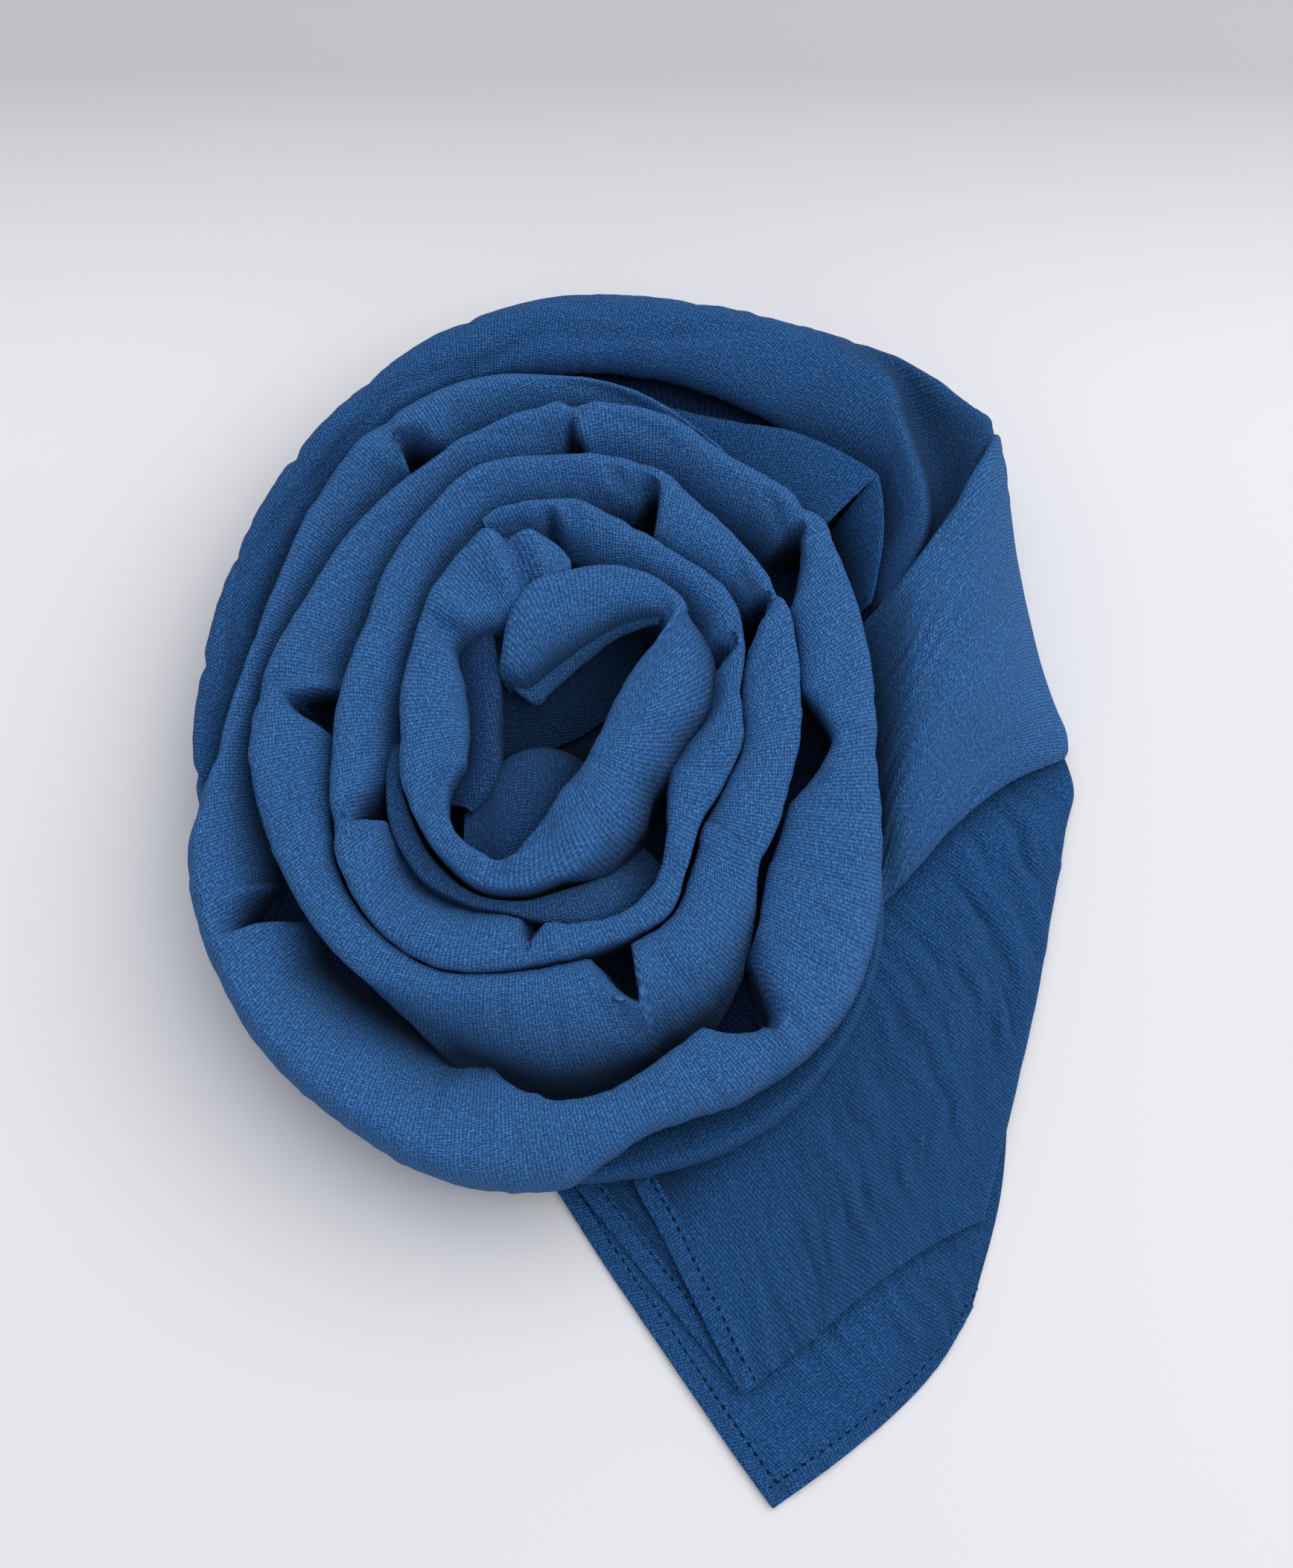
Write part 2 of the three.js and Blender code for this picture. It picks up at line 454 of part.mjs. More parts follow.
/** The heap of hidden layers: flat below, level under the turns, rounded down to its rim. */
function heap() {
  const closedRows = [...HEAP, { ...HEAP[0], bearing: 360 }];
  const bearings = Array.from({ length: 48 }, (_, i) => i * 7.5);
  const rings = bearings.map((bearing) => {
    const [shoulder, rim, rimHeight] = ["shoulder", "rim", "rimHeight"].map((name) => columnAt(closedRows, name, bearing));
    const top = COIL_FLOOR;
    return [
      [shoulder * 0.5, top],
      [shoulder, top],
      [shoulder + (rim - shoulder) * 0.6, top - (top - rimHeight) * 0.4],
      [rim, rimHeight],
      [rim, 5],
      [rim - TUCK, 0],
      [shoulder * 0.5, 0],
    ].map((point) => toPoint(bearing, point));
  });
  const size = rings[0].length;
  const positions = [...rings.flat(2), 0, 0, COIL_FLOOR, 0, 0, 0];
  const [topMiddle, baseMiddle] = [rings.length * size, rings.length * size + 1];
  const index = [];
  rings.forEach((_, s) => {
    const [a, b] = [s * size, ((s + 1) % rings.length) * size];
    for (let p = 0; p < size - 1; p++) index.push(a + p, a + p + 1, b + p + 1, a + p, b + p + 1, b + p);
    index.push(topMiddle, a, b, baseMiddle, b + size - 1, a + size - 1);
  });
  const geometry = new THREE.BufferGeometry();
  geometry.setAttribute("position", new THREE.Float32BufferAttribute(positions, 3));
  geometry.setIndex(index);
  return facingOut(geometry);
}

/** Grid of points on a panel: curves through each row's named points, then curves along the panel. */
function panelGrid(rows, names, across, along) {
  const curves = rows.map((row) => new THREE.CatmullRomCurve3(names.map((name) => new THREE.Vector3(...row[name]))));
  return Array.from({ length: along + 1 }, (_, j) => {
    const v = j / along;
    return Array.from({ length: across + 1 }, (_, i) => {
      const lengthwise = new THREE.CatmullRomCurve3(curves.map((curve) => curve.getPoint(i / across)));
      return lengthwise.getPoint(v);
    });
  });
}

/** Unit normals of a grid of points, by the cell edges around each point. */
function gridNormals(grid) {
  const clamp = (value, top) => Math.min(Math.max(value, 0), top);
  return grid.map((row, j) =>
    row.map((_, i) => {
      const along = grid[clamp(j + 1, grid.length - 1)][i].clone().sub(grid[clamp(j - 1, grid.length - 1)][i]);
      const across = row[clamp(i + 1, row.length - 1)].clone().sub(row[clamp(i - 1, row.length - 1)]);
      const normal = across.cross(along).normalize();
      return normal;
    })
  );
}

/** Closed sheet between a grid moved out by `upper` and the same grid moved out by `lower`. */
function sheet(grid, upper, lower) {
  const normals = gridNormals(grid);
  const middle = normals[Math.floor(grid.length / 2)][Math.floor(grid[0].length / 2)];
  const sign = middle.z < 0 ? -1 : 1;
  const loops = grid.map((row, j) => {
    const layer = (offset) => row.map((point, i) => point.clone().addScaledVector(normals[j][i], sign * offset).toArray());
    return [...layer(upper), ...layer(lower).reverse()];
  });
  return wallThrough(loops);
}

/** A hem: a strip along one edge of a grid, lying on the panel and starting `setback` from its first row. */
function hem(grid, edge, setback = 0) {
  const strip = grid.map((row) => {
    const ordered = edge === "left" ? row : [...row].reverse();
    const inward = ordered[1].clone().sub(ordered[0]).normalize();
    return [ordered[0], ordered[0].clone().addScaledVector(inward, HEM_WIDTH)];
  });
  strip[0] = strip[0].map((point, i) => {
    const onward = strip[1][i].clone().sub(point).normalize();
    return point.clone().addScaledVector(onward, setback);
  });
  return sheet(strip, HEM_LIFT + HEM_WALL, HEM_LIFT);
}

const transposed = (grid) => grid[0].map((_, i) => grid.map((row) => row[i]));

// Finishes: one dyed crepe, in the depths of tone that the stretches show
const cloth = (colour) => new THREE.MeshStandardMaterial({ color: colour, roughness: 0.85, metalness: 0 });
const BLUE = { bright: "#3b67a2", middle: "#335a8e", deep: "#25497a", hidden: "#1c3557" };

const scarf = new THREE.Group();
const add = (name, geometry, colour) => {
  const mesh = new THREE.Mesh(geometry, cloth(colour));
  mesh.name = name;
  scarf.add(mesh);
};

add("hidden_layers", heap(), BLUE.hidden);
add("outer_turn", stretch(OUTER_TURN, { notched: true }), BLUE.middle);
add("second_turn", stretch(SECOND_TURN, { notched: true }), BLUE.middle);
add("third_turn", stretch(THIRD_TURN, { notched: true }), BLUE.middle);
add("fourth_turn", stretch(FOURTH_TURN), BLUE.deep);
add("fourth_turn_end", stretch(FOURTH_TURN_REAPPEARING), BLUE.deep);
add("inner_turn", stretch(INNER_TURN), BLUE.bright);
add("start_hem", startHem(INNER_TURN, 428, 479, 3), BLUE.deep);
add("well_layer", stretch(WELL_LAYER, { step: 12 }), BLUE.deep);
add("well_fold", stretch(WELL_FOLD, { step: 12 }), BLUE.middle);
add("top_wrap", stretch(TOP_WRAP), BLUE.deep);
add("hollow_layer", stretch(HOLLOW_LAYER), BLUE.deep);
add("corner_flap", stretch(CORNER_FLAP, { step: 4 }), BLUE.deep);
add("under_turn", stretch(UNDER_TURN), BLUE.deep);
add("side_wrap", sheet(panelGrid(SIDE_WRAP, PANEL_ROW, 15, 12), 0, -WALL), BLUE.bright);

const topGrid = panelGrid(TAIL_TOP, TAIL_TOP_ROW, 12, 10);
const middleGrid = panelGrid(TAIL_MIDDLE, TAIL_ROW, 8, 8);
const bottomGrid = panelGrid(TAIL_BOTTOM, TAIL_ROW, 8, 8);
add("tail_top", sheet(topGrid, 0, -SHEET_WALL), BLUE.deep);
add("tail_middle", sheet(middleGrid, 0, -SHEET_WALL), BLUE.deep);
add("tail_bottom", sheet(bottomGrid, 0, -SHEET_WALL), BLUE.deep);
add("tail_top_hem", hem(topGrid, "left"), BLUE.deep);
add("tail_middle_hem", hem(middleGrid, "left"), BLUE.deep);
add("tail_bottom_side_hem", hem(bottomGrid, "left"), BLUE.deep);
add("tail_bottom_end_hem", hem(transposed(bottomGrid), "right", HEM_WIDTH + GAP), BLUE.deep);

export default scarf;
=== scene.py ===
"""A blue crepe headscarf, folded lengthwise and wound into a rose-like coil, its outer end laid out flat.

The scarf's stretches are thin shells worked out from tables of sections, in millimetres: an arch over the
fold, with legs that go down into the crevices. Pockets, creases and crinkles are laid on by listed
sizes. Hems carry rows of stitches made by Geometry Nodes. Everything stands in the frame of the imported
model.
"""

import logging
import math
from dataclasses import dataclass
from enum import Enum

import bpy
import numpy as np
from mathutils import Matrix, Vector


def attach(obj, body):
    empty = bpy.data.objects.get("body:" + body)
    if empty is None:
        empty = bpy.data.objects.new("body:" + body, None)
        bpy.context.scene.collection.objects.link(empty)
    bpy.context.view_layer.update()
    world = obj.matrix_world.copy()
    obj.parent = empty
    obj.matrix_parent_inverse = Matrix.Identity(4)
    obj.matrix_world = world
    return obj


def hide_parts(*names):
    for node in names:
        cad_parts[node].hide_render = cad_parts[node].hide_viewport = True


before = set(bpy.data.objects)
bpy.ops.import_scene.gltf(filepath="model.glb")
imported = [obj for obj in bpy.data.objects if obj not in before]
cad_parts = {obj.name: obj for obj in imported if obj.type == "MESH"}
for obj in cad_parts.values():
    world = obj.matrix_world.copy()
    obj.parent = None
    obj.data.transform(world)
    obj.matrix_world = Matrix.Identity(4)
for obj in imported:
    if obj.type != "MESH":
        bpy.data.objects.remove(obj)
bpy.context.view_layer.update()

MM = 0.001
log = logging.getLogger("headscarf")

Grid = np.ndarray
Columns = dict[str, np.ndarray]
Rows = tuple[tuple[float, ...], ...]


class Hold(Enum):
    FOLDED = "folded"
    LAID = "laid"
    DRAPED = "draped"


class Slot(Enum):
    """The record's material slots."""

    CREPE = "crepe"
    SHADED = "crepe_shaded"
    HEM = "crepe_hem"


# Columns of a section through a turn, in degrees and millimetres. The ridge is the crest's place, from 0 at
# the inner edge to 1 at the outer edge, and a drop is an edge's depth below the crest. A row without feet
# stands on LEG on both sides.
SECTION_COLUMNS = (
    "bearing", "inner", "outer", "ridge", "height", "inner_drop", "outer_drop", "inner_foot", "outer_foot",
)
HEAP_TOP = 28.0
LEG = 28.4
FLOOR = 0.3

# The winding from its outer turn inwards: bearings grow counter-clockwise along the spiral
SPIRAL_ROWS = (
    (64, 99.6, 102, 0.6, 36, 4, 4),
    (70, 100.6, 104, 0.6, 42, 5, 5),
    (80, 100.5, 107.5, 0.6, 49, 8, 9),
    (90, 99, 110, 0.6, 51, 10, 14, LEG, 28),
    (105, 94.6, 112, 0.55, 52, 12, 14, LEG, 28),
    (120, 89.6, 108.8, 0.55, 52, 12, 12, LEG, 28),
    (135, 86.2, 101.4, 0.5, 51, 10, 12, LEG, 28),
    (150, 83.6, 94.4, 0.5, 50, 9, 10, LEG, 26),
    (165, 85.6, 92, 0.5, 50, 6, 7, LEG, 24),
    (180, 86.6, 95.2, 0.5, 50, 7, 9, LEG, 20),
    (190, 85.6, 103, 0.7, 50, 10, 18, LEG, 8),
    (200, 84.6, 109.5, 0.75, 49, 12, 24, LEG, 0),
    (210, 84.2, 112, 0.8, 49, 14, 25, LEG, 0),
    (225, 84.6, 116, 0.8, 49, 15, 25, LEG, 0),
    (240, 83.8, 117.6, 0.8, 49, 15, 25, LEG, 0),
    (255, 88.6, 120.5, 0.75, 48, 12, 24, LEG, 0),
    (265, 94.8, 120, 0.65, 49, 10, 24, LEG, 6),
    (270, 96.4, 119, 0.5, 50, 9, 22, LEG, 14),
    (276, 94.8, 113, 0.5, 51, 9, 20, LEG, 25),
    (285, 90.2, 107, 0.5, 52, 8, 18, LEG, 25),
    (300, 84, 108, 0.6, 53, 9, 22, LEG, 25),
    (315, 73.2, 106, 0.6, 54, 10, 24, LEG, 25),
    (330, 64.8, 98.5, 0.6, 54, 10, 24, LEG, 25),
    (345, 63.4, 90, 0.55, 55, 10, 16, LEG, 27),
    (360, 64.6, 85.3, 0.5, 56, 10, 10),
    (375, 67, 87, 0.55, 57, 9, 9),
    (390, 72, 91, 0.6, 58, 11, 9),
    (405, 74.2, 95.7, 0.75, 58, 14, 9),
    (420, 77.5, 94.7, 0.75, 58, 12, 8),
    (435, 83, 99.5, 0.7, 58, 9, 8),
    (450, 82.6, 98.4, 0.7, 58, 8, 8),
    (465, 82.6, 94, 0.55, 58, 7, 7),
    (480, 77, 89, 0.55, 57, 7, 7),
    (495, 70.2, 85.4, 0.6, 57, 8, 8),
    (510, 63.8, 83, 0.6, 57, 10, 8),
    (525, 63, 85, 0.65, 56, 10, 8),
    (540, 63.1, 86, 0.7, 56, 10, 7),
    (555, 65.4, 84.6, 0.6, 56, 9, 8),
    (570, 69.9, 83.6, 0.5, 57, 7, 7),
    (585, 72.1, 84, 0.5, 57, 6, 6),
    (600, 71.1, 83.2, 0.5, 57, 6, 8),
    (615, 65.6, 88, 0.4, 57, 7, 14),
    (630, 60.6, 95, 0.35, 57, 8, 18),
    (645, 58.6, 89.2, 0.45, 58, 9, 17),
    (660, 56.6, 82, 0.55, 58, 9, 14),
    (675, 49.2, 71, 0.6, 58, 9, 9),
    (690, 44.4, 62.4, 0.55, 59, 8, 7),
    (705, 45.6, 62.4, 0.5, 60, 7, 7),
    (720, 49, 64, 0.5, 60, 7, 6),
    (735, 50.3, 66.4, 0.5, 60, 8, 6),
    (750, 57.8, 71.3, 0.6, 61, 7, 6),
    (765, 62.2, 73.6, 0.6, 61, 6, 6),
    (780, 61.6, 76.9, 0.65, 61, 9, 6),
    (795, 65.8, 82.4, 0.75, 61, 12, 6),
    (810, 70.8, 82, 0.6, 61, 6, 6),
    (825, 69.8, 82, 0.6, 61, 6, 6),
    (840, 62.8, 76.4, 0.55, 61, 7, 7),
    (855, 54.6, 69.6, 0.55, 61, 8, 7),
    (870, 49.2, 63.2, 0.5, 61, 8, 7),
    (885, 46.8, 62.4, 0.5, 61, 8, 7),
    (900, 47, 62.5, 0.5, 61, 8, 7),
    (915, 50.7, 64.8, 0.6, 61, 8, 7),
    (930, 53, 69.3, 0.7, 61, 9, 6),
    (945, 54.6, 71.5, 0.75, 60, 9, 6),
    (960, 52.4, 70.5, 0.7, 60, 9, 7),
    (975, 50, 65, 0.6, 60, 7, 7),
    (990, 50.5, 60, 0.5, 60, 5, 6),
    (1005, 50.3, 58, 0.5, 60, 5, 6),
    (1020, 47, 56, 0.5, 60, 6, 6),
    (1035, 39.5, 47.6, 0.5, 60, 5, 5),
    (1050, 33, 43.3, 0.5, 59, 5, 6),
    (1065, 30.5, 45, 0.5, 59, 6, 6),
    (1080, 33.5, 48.5, 0.6, 59, 7, 5),
    (1095, 43, 49.8, 0.5, 59, 4, 4),
    (1110, 46.6, 57.3, 0.6, 60, 5, 5),
    (1125, 52, 61.7, 0.5, 60, 5, 5),
    (1140, 53.2, 61.1, 0.5, 60, 4, 4),
    (1155, 52.5, 64.3, 0.5, 60, 6, 6),
    (1170, 58, 69.2, 0.55, 60, 6, 5),
    (1185, 64, 69.3, 0.5, 59, 3, 3),
    (1190, 63.9, 67.6, 0.5, 58, 2, 2),
)
FOURTH_END_ROWS = (
    (176, 43.6, 46.4, 0.5, 46, 2, 2),
    (184, 44.4, 47.6, 0.5, 54, 2, 2),
    (195, 45.8, 49.6, 0.5, 55, 2, 2),
    (210, 46.4, 52.5, 0.5, 56, 3, 3),
    (225, 47.4, 54, 0.5, 56, 4, 4),
    (240, 48, 52, 0.5, 56, 2, 2),
    (255, 44.8, 49.4, 0.5, 54, 3, 3),
    (270, 39.8, 49.6, 0.5, 52, 5, 5),
    (285, 37, 49.2, 0.6, 49, 6, 5),
    (299, 33.4, 45.4, 0.6, 42, 6, 5),
    (312, 32, 43, 0.6, 33, 3, 3),
)
INNER_ROWS = (
    (88, 44.6, 50.6, 0.5, 60, 3, 4),
    (92, 42.2, 54.6, 0.6, 62, 5, 5),
    (97, 41.4, 57.6, 0.7, 63, 6, 5),
    (103, 40, 60.6, 0.7, 65, 7, 6),
    (108, 37.6, 62, 0.7, 66, 8, 7),
    (116, 36, 60.4, 0.7, 66, 9, 8),
    (125, 37.4, 57, 0.65, 66, 9, 8),
    (137, 39.6, 52.4, 0.6, 66, 9, 8),
    (150, 31.5, 48, 0.6, 66, 10, 8),
    (165, 27, 45.7, 0.6, 66, 10, 8),
    (180, 25.5, 43.6, 0.6, 66, 10, 8),
    (195, 27, 45.2, 0.6, 66, 9, 8),
    (207, 34, 45.8, 0.5, 66, 6, 7),
    (225, 39, 46.8, 0.5, 66, 6, 6),
    (240, 39, 47.4, 0.5, 66, 6, 6),
    (255, 24, 44.3, 0.6, 66, 8, 8),
    (270, 15, 39, 0.55, 66, 9, 9),
    (285, 12, 36, 0.5, 67, 9, 10),
    (300, 10.6, 32.3, 0.4, 68, 8, 10),
    (315, 9.5, 29, 0.35, 68, 8, 10),
    (330, 9, 26, 0.35, 69, 7, 10),
    (345, 9, 28, 0.35, 69, 7, 10),
    (360, 10, 31.5, 0.35, 69, 7, 11),
    (375, 11.5, 40, 0.4, 69, 8, 11),
    (390, 15.4, 45, 0.4, 69, 8, 9),
    (400, 22.4, 46.8, 0.5, 69, 8, 8),
    (404.6, 30, 47.6, 0.6, 69, 7, 8),
    (407.4, 41.4, 48.8, 0.6, 68, 5, 8),
    (412, 43, 50, 0.55, 68, 5, 7),
    (418, 40.4, 50.6, 0.6, 68, 7, 7),
    (428, 35, 50.2, 0.68, 67, 10, 7, 38, LEG),
    (437, 29.6, 49, 0.72, 67, 12, 6, 40, LEG),
    (450, 24.4, 46, 0.74, 67, 14, 6, 42, LEG),
    (459, 22.2, 44.6, 0.74, 66.5, 15, 6, 42, LEG),
    (467, 20.8, 41.4, 0.74, 66, 15, 8, 42, 40),
    (476, 19.6, 35.6, 0.7, 65, 14, 10, 42, 40),
    (484, 19.8, 30, 0.62, 63, 12, 10, 42, 40),
    (490, 22, 27.4, 0.55, 59, 8, 7, 42, 40),
    (493, 24, 26.2, 0.5, 53, 4, 4, 42, 40),
)
TOP_WRAP_ROWS = (
    (29, 101, 105, 0.5, 36, 5, 6, 27, 26),
    (33, 110.2, 123, 0.55, 40, 8, 14, 27, 25),
    (37, 117, 141, 0.45, 43, 10, 18, LEG, 20),
    (40.5, 121, 152, 0.45, 44, 10, 18, LEG, 0),
    (45, 122, 157, 0.5, 45, 10, 20, LEG, 0),
    (52, 119, 154, 0.6, 45, 12, 21, LEG, 0),
    (60, 117, 148, 0.6, 45, 12, 22, LEG, 0),
    (75, 117, 142, 0.6, 45, 12, 22, LEG, 0),
    (90, 116, 140, 0.6, 44, 12, 22, LEG, 0),
    (105, 115.8, 134, 0.55, 44, 10, 20, LEG, 0),
    (120, 109.6, 125, 0.5, 44, 10, 20, LEG, 0),
    (135, 102.2, 117.5, 0.5, 44, 10, 20, LEG, 0),
    (150, 95.2, 111, 0.5, 43, 10, 20, LEG, 0),
    (165, 92, 106.4, 0.5, 42, 9, 20, 24, 0),
    (178, 93.4, 104.6, 0.5, 40, 7, 18, 16, 0),
    (187, 94.6, 103, 0.5, 38, 7, 16, 12, 0),
    (196, 96, 101.6, 0.5, 35, 6, 14, 10, 4),
)
HOLLOW_ROWS = (
    (42.4, 98, 119.3, 0.95, 47.5, 3, 3),
    (48, 97, 118, 0.9, 46, 5, 4),
    (56, 96, 116, 0.85, 42, 5, 6),
    (64, 97, 113, 0.8, 35, 5, 5),
    (72, 101, 112, 0.7, 30, 3, 4, 27, 27),
    (80, 105, 112, 0.7, 28, 2, 3, 26, 26),
)
CORNER_ROWS = (
    (28, 93, 97.5, 0.9, 37, 6, 4),
    (32, 94.5, 104, 0.92, 42, 10, 3),
    (36, 96.5, 110.4, 0.94, 45, 14, 3),
    (39, 97, 115, 0.95, 46, 16, 3),
    (42.4, 98, 119.3, 0.95, 47, 17, 3),
)
UNDER_ROWS = (
    (264, 103, 116.4, 0.5, 20, 4, 10, 12, 8),
    (272, 102, 115.4, 0.55, 21, 5, 11, 12, 8.4),
    (285, 101, 116, 0.6, 23, 5, 13, 12, 8.6),
    (300, 101, 115, 0.6, 23, 5, 13, 12, 9.2),
    (315, 98.5, 110, 0.6, 23, 5, 12, 12, 9),
    (330, 92, 102, 0.6, 23, 5, 11, 13, 10),
    (338, 88, 96.5, 0.6, 23, 4, 9, 14, 12),
)


@dataclass(frozen=True)
class Pocket:
    """A notch in a turn's inner edge, where the layers part.

    Its apex and its reach to each side are in degrees, and its depth in millimetres. Its soft side, -1
    before and 1 after, is where the cloth sinks into it over a reach of its own.
    """

    # Degrees over which the cloth of the firm side comes up again
    RISE = 1.2

    bearing: float
    before: float
    after: float
    depth: float
    blunt: float = 0.12
    soft: int = 0
    reach: float = 9.0
    sink: float = 5.0

    def notch(self, bearings: np.ndarray) -> np.ndarray:
        """How far it pushes the inner edge outwards.

        Args:
            bearings: in degrees.

        Returns:
            A tent with a blunt tip, in millimetres at each bearing.
        """
        offset = bearings - self.bearing
        reach = np.where(offset < 0, self.before, self.after)
        place = np.clip(np.abs(offset) / reach, 0, 1)
        fall = np.hypot(place, self.blunt) - self.blunt
        return self.depth * (1 - fall / (math.hypot(1, self.blunt) - self.blunt))

    def sag(self, bearings: np.ndarray) -> np.ndarray:
        """How far the cloth beside it has sunk.

        Args:
            bearings: in degrees.

        Returns:
            From 0 to 1 at each bearing.
        """
        offset = (bearings - self.bearing) * (self.soft or 1)
        place = np.where(offset >= 0, 1 - offset / self.reach, 1 + offset / self.RISE)
        place = np.clip(place, 0, 1) * abs(self.soft)
        return place * place * (3 - 2 * place)


POCKETS = (
    Pocket(117.5, 9, 1.4, 10, 0.1, -1, 7, 8),
    Pocket(209, 6, 4, 13, 0.2, -1, 12, 6),
    Pocket(306, 10, 4.5, 13, 0.4, 1, 10, 5),
    Pocket(361, 16, 12, 8.5, 0.15),
    Pocket(403, 12, 2.4, 15, 0.1, 1, 15, 7),
    Pocket(449, 4.5, 2, 9, 0.1, 1, 9, 5),
    Pocket(530, 6, 7, 12, 0.1, 1, 7, 4),
    Pocket(646.5, 9, 1.6, 12, 0.1, -1, 12, 7),
    Pocket(756, 9, 2.5, 9, 0.1, 1, 12, 5),
    Pocket(790.5, 3.2, 4, 13, 0.1, 1, 13, 8),
    Pocket(922, 10, 3, 7, 0.1, -1, 12, 5),
    Pocket(981, 4, 4, 4.5, 0.1, -1, 8, 3),
    Pocket(1110, 5, 5, 5.5, 0.1, 1, 8, 3),
    Pocket(1173, 4, 3, 4, 0.1, 1, 7, 4),
)


@dataclass(frozen=True)
class Crease:
    """A trough, or a ridge where the depth is negative, on a stretch's unrolled surface in millimetres.

    It lies at a bearing and a distance across from the crest, turned by degrees from the scarf's length. It
    is soft at sharp 0 and folded at sharp 1.
    """

    # Half width of a folded crease, in widths
    FOLD = 1.8

    bearing: float
    across: float
    turn: float
    length: float
    width: float
    depth: float
    sharp: float = 0.0

    def profile(self, distance: np.ndarray) -> np.ndarray:
        """Its section at distances from its line, from 0 to 1."""
        fold = np.clip(1 - np.abs(distance) / (self.FOLD * self.width), 0, 1)
        return (1 - self.sharp) * bell(distance, self.width) + self.sharp * fold
